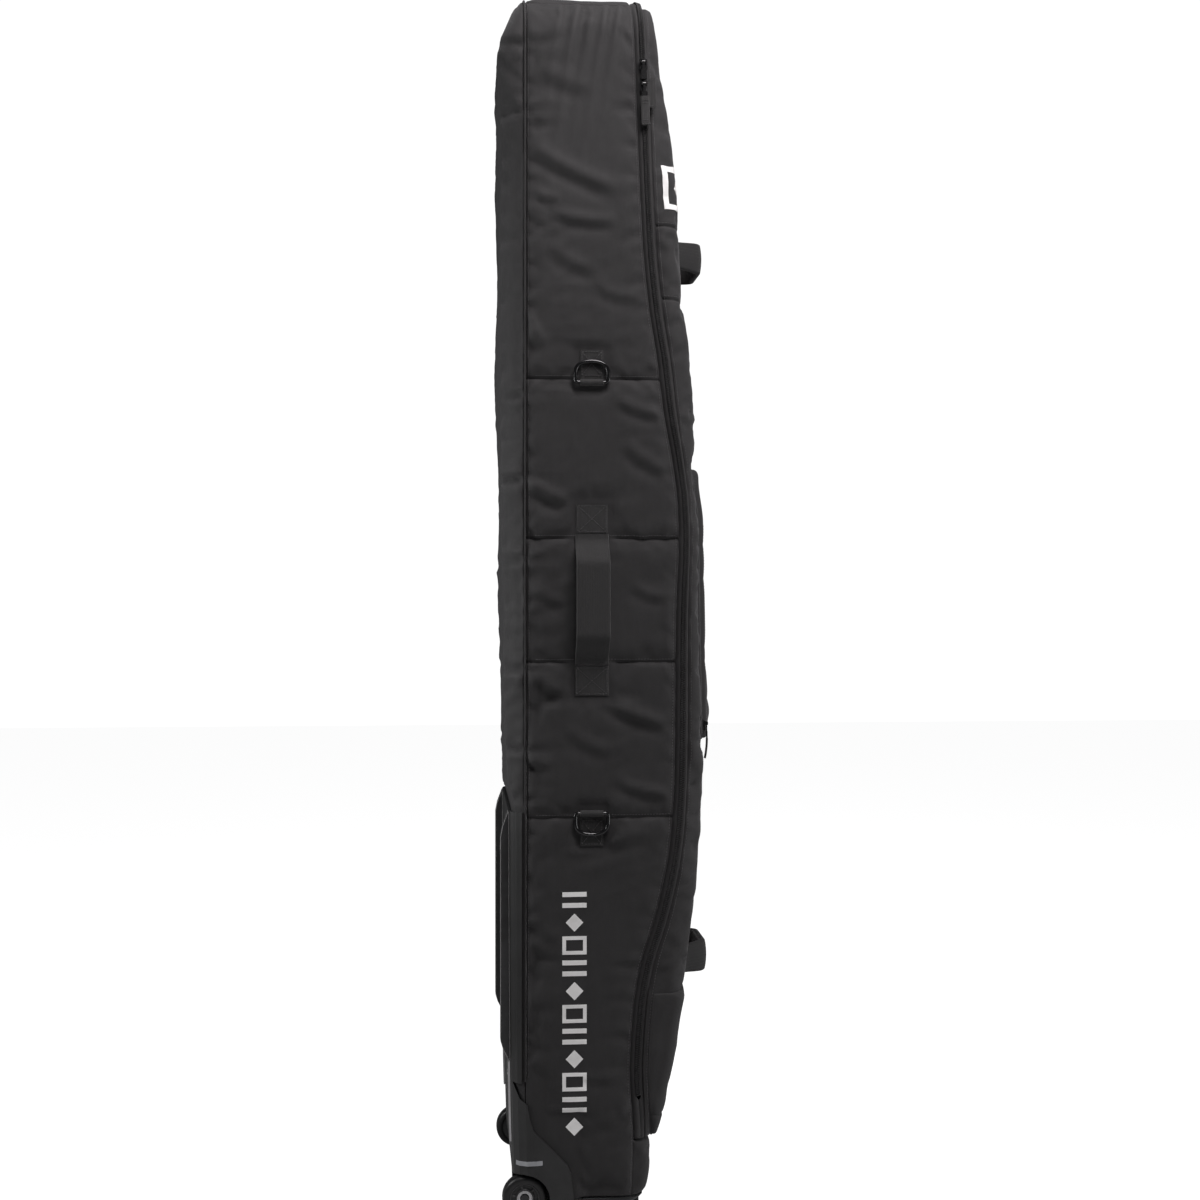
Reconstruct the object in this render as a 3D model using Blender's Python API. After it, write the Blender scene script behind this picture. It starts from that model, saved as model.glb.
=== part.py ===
"""A wheeled snowboard bag, standing upright on its wheels and two front feet.

Frame: metres, +Z up, the zipped front faces -Y and the wheels and skid rails are on the +Y side.
The origin is the middle of the bounding box, at the floor. "Left" is the -X side.

The padded body is one lofted form, `form(grow)`. Every panel is the skin between two such forms,
kept inside a region: a box, or a side-view outline extruded along X. What sits on the body is made
too deep and then cut back with a slightly grown form, so it fits the curved surface with a small gap.
"""

import math

import bmesh
import bpy
from mathutils import Matrix, Vector

# ---- Driving dimensions ------------------------------------------------------------------------
GAP = 0.0003            # clearance between pieces that touch
HEIGHT = 1.760          # floor to the top of the bag
WIDTH = 0.345           # across the side panels
HANDLE_UP = 0.030       # how far the side handle stands off the side panel
BACK_SEAM = 0.1238      # Y of the straight seam between side and back panel
BASE_Z = 0.014          # underside of the padded body
PAD = 0.012             # thickness of the padded panels
LINING = 0.0015
TOP_RADIUS = 0.070      # round shoulders, seen from the front
BASE_RADIUS = 0.026     # round edge all round the bottom end
BACK_RADIUS = 0.030     # round vertical edges at the back
FRONT_RADIUS = 0.024    # round vertical edges of the lid
LID_TOP_RADIUS = 0.026
HINGE_Z = 0.113         # fabric hinge of the lid, above the bottom end
HINGE_Y = BACK_SEAM - 0.1836
CROWN = 0.012           # how far the middle of the lid bulges ahead of its edges
SHELL = 0.0035          # thickness of the moulded plastic
MID_X = (HANDLE_UP - GAP - SHELL) / 2   # the handle stands out further than the far housing

LEFT_X = MID_X - WIDTH / 2
RIGHT_X = MID_X + WIDTH / 2
SIDES = {"left": -1, "right": 1}

# How far the front of each thing lies ahead of the back seam, by height (height, distance).
ZIP_SEAM = [
    (0.014, 0.150), (0.110, 0.1530), (0.214, 0.1480), (0.250, 0.1495), (0.306, 0.1540),
    (0.355, 0.1620), (0.425, 0.1830), (0.472, 0.1950), (0.519, 0.2040), (0.575, 0.2100),
    (0.650, 0.2130), (0.860, 0.2150), (0.972, 0.2190), (1.026, 0.2170), (1.080, 0.2100),
    (1.154, 0.1970), (1.220, 0.1890), (1.310, 0.1750), (1.400, 0.1665), (1.700, 0.1538),
    (1.760, 0.1513),
]
LID_FACE = [
    (0.014, 0.1700), (0.045, 0.1755), (0.075, 0.1775), (0.110, 0.1815), (0.135, 0.1890),
    (0.165, 0.1960), (0.220, 0.2080), (0.292, 0.2200), (0.335, 0.2290), (0.421, 0.2390),
    (0.479, 0.2455), (0.551, 0.2510), (0.620, 0.2545), (0.660, 0.2560), (0.700, 0.2553),
    (0.900, 0.2518), (1.000, 0.2500), (1.060, 0.2430), (1.144, 0.2415), (1.245, 0.2335),
    (1.332, 0.2250), (1.462, 0.2170), (1.563, 0.2073), (1.678, 0.1905), (1.760, 0.1800),
]
BACK_FACE = [
    (0.014, 0.0115), (0.060, 0.0130), (0.200, 0.0165), (0.400, 0.0180), (0.600, 0.0190),
    (0.750, 0.0240), (1.050, 0.0270), (1.600, 0.0270),
]
BACK_TOP_Z = 1.600      # above this the back curves forward to the seam
STATIONS = [
    0.040, 0.060, 0.085, 0.113, 0.150, 0.200, 0.242, 0.306, 0.355, 0.425, 0.472, 0.543, 0.600,
    0.681, 0.750, 0.870, 0.972, 1.030, 1.070, 1.140, 1.220, 1.310, 1.420, 1.500, 1.600, 1.650,
    1.690,
]
TOP_ANGLES = [22, 40, 58, 74, 90]
BASE_ANGLES = [0, 30, 60]

# Zip: tape, two rows of teeth, tape, measured forward from the seam.
TAPE = 0.0095
TEETH = 0.0028
TAPE_THICK = 0.0016
ZIP_WIDTH = 2 * TAPE + 2 * TEETH + 3 * GAP
ZIP_END_Z = 0.175       # lower end of the teeth
SLIDER_Z = {"upper": 1.648, "lower": 1.617}
STRAIGHT_ZIP = (1.400, 1.700)

# Wheels
WHEEL_R = 0.032
WHEEL_WIDTH = 0.024
WHEEL_INSET = 0.004     # from the side panel to the wheel's outer face
WELL_CLEAR = 0.0035
WELL_WALL = 0.003
AXLE_R = 0.004
BEARING_R = 0.011
BEARING_WIDTH = 0.007
RIM_R = 0.0215
WHEEL_Y = BACK_SEAM
WHEEL_Z = WHEEL_R

# Webbing
WEB = 0.048             # broad webbing of the handles
HANDLE_X = LEFT_X - HANDLE_UP
FRONT_Y = -0.1578       # front of the lower loop, the foremost face
RAIL_Y = 0.1578         # back of the skid rails, the rearmost face

COLOURS = {
    "fabric": ((0.030, 0.030, 0.032), 0.75, 0.0),
    "webbing": ((0.022, 0.022, 0.024), 0.80, 0.0),
    "lining": ((0.060, 0.062, 0.066), 0.85, 0.0),
    "plastic": ((0.018, 0.019, 0.020), 0.45, 0.0),
    "zip": ((0.012, 0.012, 0.013), 0.50, 0.0),
    "slider": ((0.020, 0.020, 0.021), 0.25, 0.9),
    "urethane": ((0.015, 0.015, 0.016), 0.40, 0.0),
    "steel": ((0.550, 0.550, 0.560), 0.30, 1.0),
}


# ---- Small tools -------------------------------------------------------------------------------
def clear_scene():
    for obj in list(bpy.data.objects):
        bpy.data.objects.remove(obj)


def material(name):
    found = bpy.data.materials.get(name)
    if found:
        return found
    colour, roughness, metallic = COLOURS[name]
    made = bpy.data.materials.new(name)
    made.use_nodes = True
    shader = made.node_tree.nodes["Principled BSDF"]
    shader.inputs["Base Color"].default_value = (*colour, 1.0)
    shader.inputs["Roughness"].default_value = roughness
    shader.inputs["Metallic"].default_value = metallic
    return made


def add(name, bm, finish="fabric"):
    """A new object from a bmesh, with its normals pointing out."""
    bmesh.ops.recalc_face_normals(bm, faces=bm.faces)
    mesh = bpy.data.meshes.new(name)
    bm.to_mesh(mesh)
    bm.free()
    mesh.materials.append(material(finish))
    obj = bpy.data.objects.new(name, mesh)
    bpy.context.scene.collection.objects.link(obj)
    return obj


def skinned(name, rings, finish="fabric", closed=False, split=False):
    """Faces between rings of equal length; the ends are capped unless the rings meet.

    `split` cuts every four-sided face the same way, so that two offsets stay parallel.
    """
    bm = bmesh.new()
    loops = [[bm.verts.new(point) for point in ring] for ring in rings]
    count = len(loops[0])
    pairs = list(zip(loops, loops[1:]))
    if closed:
        pairs.append((loops[-1], loops[0]))
    for low, high in pairs:
        for i in range(count):
            j = (i + 1) % count
            if split:
                bm.faces.new((low[i], low[j], high[j]))
                bm.faces.new((low[i], high[j], high[i]))
            else:
                bm.faces.new((low[i], low[j], high[j], high[i]))
    if not closed:
        bm.faces.new(loops[0])
        bm.faces.new(loops[-1])
    return add(name, bm, finish)


def block(name, low, high, finish="fabric"):
    (x0, y0, z0), (x1, y1, z1) = low, high
    corners = [(x0, y0), (x1, y0), (x1, y1), (x0, y1)]
    return skinned(name, [[(x, y, z) for x, y in corners] for z in (z0, z1)], finish)


def prism_x(name, outline, x0, x1, finish="fabric"):
    """A side-view outline of (y, z) points, extruded along X."""
    return skinned(name, [[(x, y, z) for y, z in outline] for x in (x0, x1)], finish)


def prism_y(name, outline, y0, y1, finish="fabric"):
    """A front-view outline of (x, z) points, extruded along Y."""
    return skinned(name, [[(x, y, z) for x, z in outline] for y in (y0, y1)], finish)


def prism_z(name, outline, z0, z1, finish="fabric"):
    """A plan outline of (x, y) points, extruded along Z."""
    return skinned(name, [[(x, y, z) for x, y in outline] for z in (z0, z1)], finish)


def turned(name, profile, y, z, finish, steps=32):
    """A profile of (x, radius) points turned about the line along X through (y, z)."""
    rings = []
    for k in range(steps):
        a = 2 * math.pi * k / steps
        rings.append([(x, y + r * math.cos(a), z + r * math.sin(a)) for x, r in profile])
    return skinned(name, rings, finish, closed=True)


def disc(name, x0, x1, radius, y, z, finish="fabric", steps=32):
    """A solid cylinder along X."""
    circle = [(y + radius * math.cos(2 * math.pi * k / steps),
               z + radius * math.sin(2 * math.pi * k / steps)) for k in range(steps)]
    return prism_x(name, circle, x0, x1, finish)


def rounded(x0, x1, z0, z1, radius, steps=4):
    """The outline of a rectangle with round corners."""
    points = []
    for cx, cz, start in ((x1 - radius, z1 - radius, 0), (x0 + radius, z1 - radius, 90),
                          (x0 + radius, z0 + radius, 180), (x1 - radius, z0 + radius, 270)):
        for k in range(steps + 1):
            a = math.radians(start + 90 * k / steps)
            points.append((cx + radius * math.cos(a), cz + radius * math.sin(a)))
    return points


def band_outline(path, thickness):
    """The closed outline of a strip of that thickness whose outer side follows the path."""
    inner = []
    for i, (u, v) in enumerate(path):
        u0, v0 = path[max(i - 1, 0)]
        u1, v1 = path[min(i + 1, len(path) - 1)]
        length = math.hypot(u1 - u0, v1 - v0)
        inner.append((u + thickness * (v1 - v0) / length, v - thickness * (u1 - u0) / length))
    return path + inner[::-1]


def apply_boolean(obj, other, operation, keep_other=False):
    modifier = obj.modifiers.new(operation, "BOOLEAN")
    modifier.operation = operation
    modifier.solver = "EXACT"
    modifier.object = other
    graph = bpy.context.evaluated_depsgraph_get()
    mesh = bpy.data.meshes.new_from_object(obj.evaluated_get(graph))
    obj.modifiers.clear()
    obj.data = mesh
    if not keep_other:
        bpy.data.objects.remove(other)
    return obj


def cut(obj, *cutters):
    for cutter in cutters:
        apply_boolean(obj, cutter, "DIFFERENCE")
    return obj


def keep(obj, region):
    return apply_boolean(obj, region, "INTERSECT")


def join(obj, *others):
    for other in others:
        apply_boolean(obj, other, "UNION")
    return obj


def smooth(obj, angle=40):
    obj.data.shade_smooth()
    obj.data.set_sharp_from_angle(angle=math.radians(angle))
    return obj


def curve_value(points, z):
    """A smooth curve through (z, value) points that never overshoots them."""
    if z <= points[0][0]:
        return points[0][1]
    if z >= points[-1][0]:
        return points[-1][1]
    slopes = [(b[1] - a[1]) / (b[0] - a[0]) for a, b in zip(points, points[1:])]
    tangents = [slopes[0]]
    for s, t in zip(slopes, slopes[1:]):
        tangents.append(0.0 if s * t <= 0 else 2 * s * t / (s + t))
    tangents.append(slopes[-1])
    i = max(k for k, p in enumerate(points[:-1]) if p[0] <= z)
    (z0, v0), (z1, v1) = points[i], points[i + 1]
    h = z1 - z0
    t = (z - z0) / h
    return ((2 * t**3 - 3 * t**2 + 1) * v0 + (t**3 - 2 * t**2 + t) * h * tangents[i]
            + (3 * t**2 - 2 * t**3) * v1 + (t**3 - t**2) * h * tangents[i + 1])


# ---- The body's form ---------------------------------------------------------------------------
SEAM_STEP = 0.040       # the zip seam is drawn in straight pieces of this height


def zip_y(z):
    """Y of the seam where the zip is sewn to the side panel."""
    k = math.floor(z / SEAM_STEP)
    low = curve_value(ZIP_SEAM, k * SEAM_STEP)
    high = curve_value(ZIP_SEAM, (k + 1) * SEAM_STEP)
    return BACK_SEAM - low - (high - low) * (z / SEAM_STEP - k)


def levels(grow):
    """(height, inset at the ends' round edges) for each ring, bottom to top."""
    base = BASE_RADIUS + grow
    rings = []
    for angle in BASE_ANGLES:
        a = math.radians(angle)
        rings.append((BASE_Z + BASE_RADIUS - base * math.cos(a), base * (1 - math.sin(a))))
    rings += [(z, 0.0) for z in STATIONS]
    top = TOP_RADIUS + grow
    for angle in TOP_ANGLES:
        a = math.radians(angle)
        rings.append((HEIGHT - TOP_RADIUS + top * math.sin(a), top * (1 - math.cos(a))))
    return rings


def back_y(z):
    """Y of the back face, which curves forward to the seam at the top."""
    y = curve_value(BACK_FACE, z)
    if z > BACK_TOP_Z:
        rise = min(1.0, (z - BACK_TOP_Z) / (HEIGHT - BACK_TOP_Z))
        y *= math.sqrt(max(0.0, 1 - rise**2.2))
    return BACK_SEAM + y


def front_y(z):
    """Y of the lid's face, with a round top edge."""
    y = curve_value(LID_FACE, z)
    over = z - (HEIGHT - LID_TOP_RADIUS)
    if over > 0:
        y -= LID_TOP_RADIUS - math.sqrt(max(0.0, LID_TOP_RADIUS**2 - over**2))
    return BACK_SEAM - y


def crown(z):
    """How far the middle of the lid stands ahead of its edges at a height."""
    rise = min(1.0, max(0.0, (z - 0.13) / 0.27))
    fall = min(1.0, max(0.0, (HEIGHT - 0.02 - z) / 0.40))
    return CROWN * rise * rise * (3 - 2 * rise) * fall * fall * (3 - 2 * fall)


def section(z, inset, grow):
    """One ring: a rectangle with round corners and a crowned front."""
    half = WIDTH / 2 + grow - inset
    height = min(max(z, BASE_Z), HEIGHT)
    base_inset = inset if z < 0.1 else 0.0
    back = back_y(height) + grow - base_inset
    front = front_y(height) - grow + base_inset
    points = []
    corners = ((half, back, BACK_RADIUS, 0), (-half, back, BACK_RADIUS, 90),
               (-half, front, FRONT_RADIUS, 180), (half, front, FRONT_RADIUS, 270))
    for x, y, radius, start in corners:
        radius += grow
        cx = MID_X + x - math.copysign(radius, x)
        cy = y - radius if start < 180 else y + radius
        for k in range(5):
            a = math.radians(start + 90 * k / 4)
            points.append((cx + radius * math.cos(a), cy + radius * math.sin(a), z))
        if start == 180:
            flat = half - radius
            for part in (-0.75, -0.5, -0.25, 0.0, 0.25, 0.5, 0.75):
                points.append((MID_X + flat * part, front - crown(height) * (1 - part**2), z))
    return points


def form(grow):
    """The whole padded body as one closed solid, offset outwards by `grow`."""
    rings = [section(z, inset, grow) for z, inset in levels(grow)]
    return skinned("form", rings, split=True)


def skin(name, outside, inside, finish="fabric"):
    """The layer between two offsets of the body's form."""
    return cut_named(form(outside), name, finish, form(inside))


def cut_named(obj, name, finish, *cutters):
    cut(obj, *cutters)
    obj.name = name
    obj.data.materials.clear()
    obj.data.materials.append(material(finish))
    return obj


def side_region(name, ahead, behind, z0, z1, margin=0.02):
    """Everything between two side-view curves, given as functions of height."""
    first = math.floor(z0 / SEAM_STEP) + 1
    last = math.ceil(z1 / SEAM_STEP) - 1
    heights = [z0] + [k * SEAM_STEP for k in range(first, last + 1)] + [z1]
    outline = [(ahead(z), z) for z in heights] + [(behind(z), z) for z in heights[::-1]]
    return prism_x(name, outline, LEFT_X - margin, RIGHT_X + margin)


def box_region(x0=-1, x1=1, y0=-1, y1=1, z0=-1, z1=3):
    return block("region", (x0, y0, z0), (x1, y1, z1))


# ---- Places along the body ---------------------------------------------------------------------
def across(side, depth):
    """X of a plane that lies `depth` inside the side panel's face; negative is outside."""
    return MID_X + SIDES[side] * (WIDTH / 2 - depth)


def beyond(side, x_depth, far=0.3):
    """A region from outside the bag to `x_depth` inside one side panel."""
    ends = sorted((across(side, -far), across(side, x_depth)))
    return box_region(x0=ends[0], x1=ends[1])


def face_y(z, ahead=0.0):
    """Y of the middle of the lid's face."""
    return front_y(z) - crown(z) - ahead


def wheel_bore(side, radius, outer, inner):
    """A cylinder about the wheel's axis, between two depths inside the side panel."""
    ends = sorted((across(side, outer), across(side, inner)))
    return disc("bore", ends[0], ends[1], radius, WHEEL_Y, WHEEL_Z)


WELL_R = WHEEL_R + WELL_CLEAR
WELL_DEPTH = WHEEL_INSET + WHEEL_WIDTH + 0.0065
CUP_R = WELL_R + WELL_WALL
CUP_DEPTH = WELL_DEPTH + WELL_WALL
BASE_SPLIT = 0.0415     # bottom end panel reaches to here
SHOULDER = 1.7455       # top end panel starts here
PIPE = 0.002            # half the width of the piping


def clear_of_wheels(obj):
    """Take the wheel wells out of a soft panel."""
    for side in SIDES:
        cut(obj, wheel_bore(side, CUP_R + GAP, -0.05, CUP_DEPTH + GAP))
        cut(obj, wheel_bore(side, 0.0085, 0.01, CUP_DEPTH + 0.0055))
    return obj


# ---- Padded body -------------------------------------------------------------------------------
def build_back_panel():
    panel = skin("back_panel", 0.0, -PAD)
    keep(panel, box_region(y0=BACK_SEAM + PIPE + GAP, z0=BASE_SPLIT + GAP))
    return clear_of_wheels(panel)


def build_side_panel(side):
    panel = skin("side_panel_" + side, 0.0, -PAD)
    keep(panel, side_region("band", lambda z: zip_y(z) + GAP,
                            lambda z: BACK_SEAM - PIPE - GAP, BASE_SPLIT + GAP, SHOULDER))
    keep(panel, beyond(side, WIDTH / 2 - 0.001))
    # The padding stops flat on the inside, so the compartment keeps square back corners.
    flat = PAD + 0.0002
    cut(panel, box_region(x0=LEFT_X + flat, x1=RIGHT_X - flat, y1=BACK_SEAM, z1=HEIGHT - TOP_RADIUS))
    return clear_of_wheels(panel)


def build_top_end():
    panel = skin("top_end_panel", 0.0, -PAD)
    return keep(panel, side_region("band", lambda z: zip_y(z) + GAP,
                                   lambda z: BACK_SEAM - PIPE - GAP, SHOULDER + GAP, 1.8))


def build_bottom_end():
    panel = skin("bottom_end_panel", 0.0, -PAD)
    keep(panel, box_region(z1=BASE_SPLIT))
    return clear_of_wheels(panel)


def build_apron():
    apron = skin("front_apron", 0.0, -PAD)
    keep(apron, side_region("band", lambda z: -0.3, lambda z: zip_y(z), BASE_SPLIT + GAP,
                            HINGE_Z - 2 * GAP))
    return cut(apron, hinge_clearance())


def build_piping():
    piping = skin("back_seam_piping", 0.0022, -0.0026)
    keep(piping, box_region(y0=BACK_SEAM - PIPE, y1=BACK_SEAM + PIPE, z0=0.1985))
    return piping


def hinge_clearance():
    return disc("clearance", LEFT_X - 0.02, RIGHT_X + 0.02, 0.002 + GAP, HINGE_Y, HINGE_Z, steps=16)


def build_lid_hinge():
    return disc("lid_hinge_binding", LEFT_X + 0.027, RIGHT_X - 0.027, 0.002, HINGE_Y, HINGE_Z,
                "webbing", steps=16)


def build_lid():
    lid = skin("lid_panel", 0.0, -PAD)
    keep(lid, side_region("band", lambda z: -0.3, lambda z: zip_y(z) - ZIP_WIDTH - GAP,
                          HINGE_Z + 2 * GAP, 1.8))
    return cut(lid, hinge_clearance())


def build_zip_strip(name, ahead_near, ahead_far, outer, inner, z0, finish):
    """A U-shaped strip up one side, over the top and down the other."""
    strip = skin(name, outer, inner, finish)
    return keep(strip, side_region("band", lambda z: zip_y(z) - ahead_far,
                                   lambda z: zip_y(z) - ahead_near, z0, 1.8))


def build_zip():
    low = HINGE_Z + 2 * GAP
    first = TAPE + GAP
    second = first + TEETH + GAP
    third = second + TEETH + GAP
    tape = (-0.0004, -0.0004 - TAPE_THICK)
    build_zip_strip("zip_tape_body", 0.0, TAPE, *tape, low, "webbing")
    build_zip_strip("zip_coil_body", first, first + TEETH, 0.0012, -0.0028, ZIP_END_Z, "zip")
    build_zip_strip("zip_coil_lid", second, second + TEETH, 0.0012, -0.0028, ZIP_END_Z, "zip")
    strip = build_zip_strip("zip_tape_lid", third, third + TAPE, *tape, low, "webbing")
    cut(strip, hinge_clearance())


# ---- Inside ------------------------------------------------------------------------------------
def build_linings():
    outer = -PAD - GAP
    tub = skin("body_lining", outer, outer - LINING, "lining")
    cut(tub, side_region("band", lambda z: -0.3, lambda z: zip_y(z) + 0.001,
                         HINGE_Z - 0.004, 1.9))
    clear_of_wheels(tub)
    lid = skin("lid_lining", outer, outer - LINING, "lining")
    keep(lid, side_region("band", lambda z: -0.3, lambda z: zip_y(z) - ZIP_WIDTH - 0.001,
                          HINGE_Z + 0.004, 1.9))


def build_back_board():
    outer = -PAD - LINING - 2 * GAP
    board = skin("back_board", outer, outer - 0.002, "plastic")
    keep(board, box_region(x0=MID_X - 0.125, x1=MID_X + 0.125, y0=0.09, z0=0.087, z1=1.560))


def build_tie_strap(name, z):
    depth = PAD + LINING + 2 * GAP
    block(name, (across("left", depth), -0.0215, z - 0.019),
          (across("right", depth), -0.0200, z + 0.019), "webbing")


# ---- Tray, rails and wheels --------------------------------------------------------------------
TRAY_TOP = 0.582
HOUSING_TOP = 0.196
HOUSING_IN = 0.058      # how far the housings reach across the back


def build_tray():
    tray = skin("wheel_tray", GAP + SHELL, GAP, "plastic")
    keep(tray, box_region(y0=BACK_SEAM + 0.0045, z0=0.060, z1=TRAY_TOP))
    for side in SIDES:
        ends = sorted((across(side, -0.1), across(side, HOUSING_IN + GAP)))
        cut(tray, box_region(x0=ends[0], x1=ends[1], z1=HOUSING_TOP + GAP))


def housing_outline():
    """Side view of a wheel housing: it follows the back and steps forward round the wheel."""
    steps = [(0.080, HOUSING_TOP), (0.017, HOUSING_TOP), (0.007, 0.174), (-0.0035, 0.1665),
             (-0.0070, 0.146), (-0.0124, 0.130), (-0.039, 0.103), (-0.0604, 0.0805),
             (-0.0653, 0.069), (-0.0696, 0.032), (-0.0696, -0.05), (0.080, -0.05)]
    return [(BACK_SEAM + y, z) for y, z in steps]


def build_housing(side):
    housing = skin("wheel_housing_" + side, GAP + SHELL, GAP, "plastic")
    keep(housing, prism_x("outline", housing_outline(), -1, 1))
    keep(housing, beyond(side, HOUSING_IN))
    cup = wheel_bore(side, CUP_R, -GAP - 0.001, CUP_DEPTH)
    keep(cup, form(GAP + SHELL))
    join(housing, cup)
    cut(housing, wheel_bore(side, WELL_R, -0.05, WELL_DEPTH))
    cut(housing, wheel_bore(side, AXLE_R + GAP, 0.0, CUP_DEPTH + 0.01))
    return housing


def build_rail(side):
    ends = sorted((across(side, 0.026), across(side, 0.046)))
    y = BACK_SEAM
    outline = [(y, 0.222), (y + 0.0212, 0.222), (RAIL_Y - 0.003, 0.242), (RAIL_Y, 0.252),
               (RAIL_Y, 0.545), (RAIL_Y - 0.003, 0.560), (y + 0.0235, 0.580), (y, 0.580)]
    rail = prism_x("skid_rail_" + side, outline, ends[0], ends[1], "plastic")
    cut(rail, form(2 * GAP + SHELL))
    x = sum(ends) / 2
    cut(rail, rivet_hole(x, 0.530, RAIL_Y - 0.006))
    rivet("rail_rivet_" + side, x, 0.530, RAIL_Y - 0.006 + GAP, RAIL_Y - 0.0004)


def rivet_hole(x, z, y):
    return spun_y("hole", x, z, y, y + 0.03, 0.0045)


def rivet(name, x, z, y0, y1):
    return spun_y(name, x, z, y0, y1, 0.0045 - GAP, "steel")


def spun_y(name, x, z, y0, y1, radius, finish="fabric", steps=20):
    """A solid cylinder along Y."""
    circle = [(x + radius * math.cos(2 * math.pi * k / steps),
               z + radius * math.sin(2 * math.pi * k / steps)) for k in range(steps)]
    return prism_y(name, circle, y0, y1, finish)


def build_guard(side):
    """The light metal strip from the rail's foot down to the wheel, with its rivet."""
    ends = sorted((across(side, 0.028), across(side, 0.044)))
    strip = cut_named(form(2 * GAP + SHELL + 0.0022), "guard_strip_" + side, "steel",
                      form(2 * GAP + SHELL))
    keep(strip, box_region(x0=ends[0], x1=ends[1], y0=BACK_SEAM, z0=0.107, z1=0.2215))
    x = sum(ends) / 2
    y = back_y(0.205) + 2 * GAP + SHELL
    cut(strip, rivet_hole(x, 0.205, y - 0.004))
    rivet("guard_rivet_" + side, x, 0.205, y + GAP, y + 0.0034)


def build_wheel(side):
    """Tyre, hub, bearing and axle bolt, all turned about the same line."""
    sign = -SIDES[side]
    outer = across(side, WHEEL_INSET)
    width = WHEEL_WIDTH
    parts = {
        "tyre": [(0.000, RIM_R + GAP), (width, RIM_R + GAP), (width, WHEEL_R - 0.006),
                 (width - 0.002, WHEEL_R - 0.0018), (width - 0.006, WHEEL_R), (0.006, WHEEL_R),
                 (0.002, WHEEL_R - 0.0018), (0.000, WHEEL_R - 0.006)],
        "hub": [(0.0015, BEARING_R + GAP), (0.0100, BEARING_R + GAP), (0.0100, AXLE_R + 0.002),
                (width - 0.001, AXLE_R + 0.002), (width - 0.001, RIM_R), (0.001, RIM_R),
                (0.001, RIM_R - 0.002), (0.0025, RIM_R - 0.003), (0.0025, BEARING_R + 0.003),
                (0.0015, BEARING_R + 0.002)],
        "bearing": [(0.0026, AXLE_R + GAP), (0.0096, AXLE_R + GAP), (0.0096, BEARING_R),
                    (0.0026, BEARING_R)],
    }
    finishes = {"tyre": "urethane", "hub": "plastic", "bearing": "steel"}
    for part, profile in parts.items():
        name = "wheel_" + part + "_" + side
        turned(name, [(outer + sign * x, r) for x, r in profile], WHEEL_Y, WHEEL_Z,
               finishes[part])
    reach = CUP_DEPTH - WHEEL_INSET
    shank = [(0.0002, 0.0), (0.0002, 0.0060), (0.0023, 0.0068), (0.0023, AXLE_R),
             (reach + GAP, AXLE_R), (reach + GAP, 0.0075), (reach + 0.004, 0.0075),
             (reach + 0.004, 0.0)]
    bolt(("axle_bolt_" + side), [(outer + sign * x, r) for x, r in shank], "steel")


def bolt(name, profile, finish, steps=24):
    """A turned solid whose profile starts and ends on the axis."""
    bm = bmesh.new()
    rings = []
    for x, r in profile[1:-1]:
        rings.append([bm.verts.new((x, WHEEL_Y + r * math.cos(2 * math.pi * k / steps),
                                    WHEEL_Z + r * math.sin(2 * math.pi * k / steps)))
                      for k in range(steps)])
    for low, high in zip(rings, rings[1:]):
        for i in range(steps):
            j = (i + 1) % steps
            bm.faces.new((low[i], low[j], high[j], high[i]))
    bm.faces.new(rings[0])
    bm.faces.new(rings[-1])
    return add(name, bm, finish)


def build_foot(side):
    ends = sorted((across(side, 0.040), across(side, 0.085)))
    foot = block("front_foot_" + side, (ends[0], -0.0430, 0.0), (ends[1], -0.0080, 0.034), "plastic")
    return cut(foot, form(GAP))


# ---- Handles and rings -------------------------------------------------------------------------
HANDLE_Y = BACK_SEAM - 0.0953
HANDLE_Z = (0.796, 0.973)


def ease(t):
    return 0.5 - 0.5 * math.cos(math.pi * t)


def arch(low, high, base, peak, ramp, foot):
    """(distance off the face, position along) of an arch between two short flat feet."""
    path = [(base + (peak - base) * ease(k / 7), low + ramp * k / 7) for k in range(8)]
    path += [(base + (peak - base) * ease(1 - k / 7), high - ramp + ramp * k / 7)
             for k in range(8)]
    if foot > 0:
        path = [(base, low - foot)] + path + [(base, high + foot)]
    return path


def build_side_handle():
    thick = 0.004
    path = arch(HANDLE_Z[0], HANDLE_Z[1], LEFT_X - GAP - thick, HANDLE_X, 0.040, 0.006)
    prism_y("side_handle", band_outline(path, thick), HANDLE_Y - WEB / 2, HANDLE_Y + WEB / 2,
            "webbing")
    for name, z0, z1 in (("upper", 0.9795, 1.0200), ("lower", 0.7480, 0.7895)):
        block("handle_patch_" + name, (LEFT_X - GAP - 0.0012, HANDLE_Y - 0.017, z0),
              (LEFT_X - GAP, HANDLE_Y + 0.017, z1), "webbing")


RING_Y = BACK_SEAM - 0.0948
RING_WIRE = 0.0026
RING_WIDE = 0.052
RING_TALL = 0.036
TAB_THICK = 0.0015
BAR_X = LEFT_X - GAP - TAB_THICK - GAP - RING_WIRE
RINGS = {"upper": (1.1935, 1), "lower": (0.5805, -1)}


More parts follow.
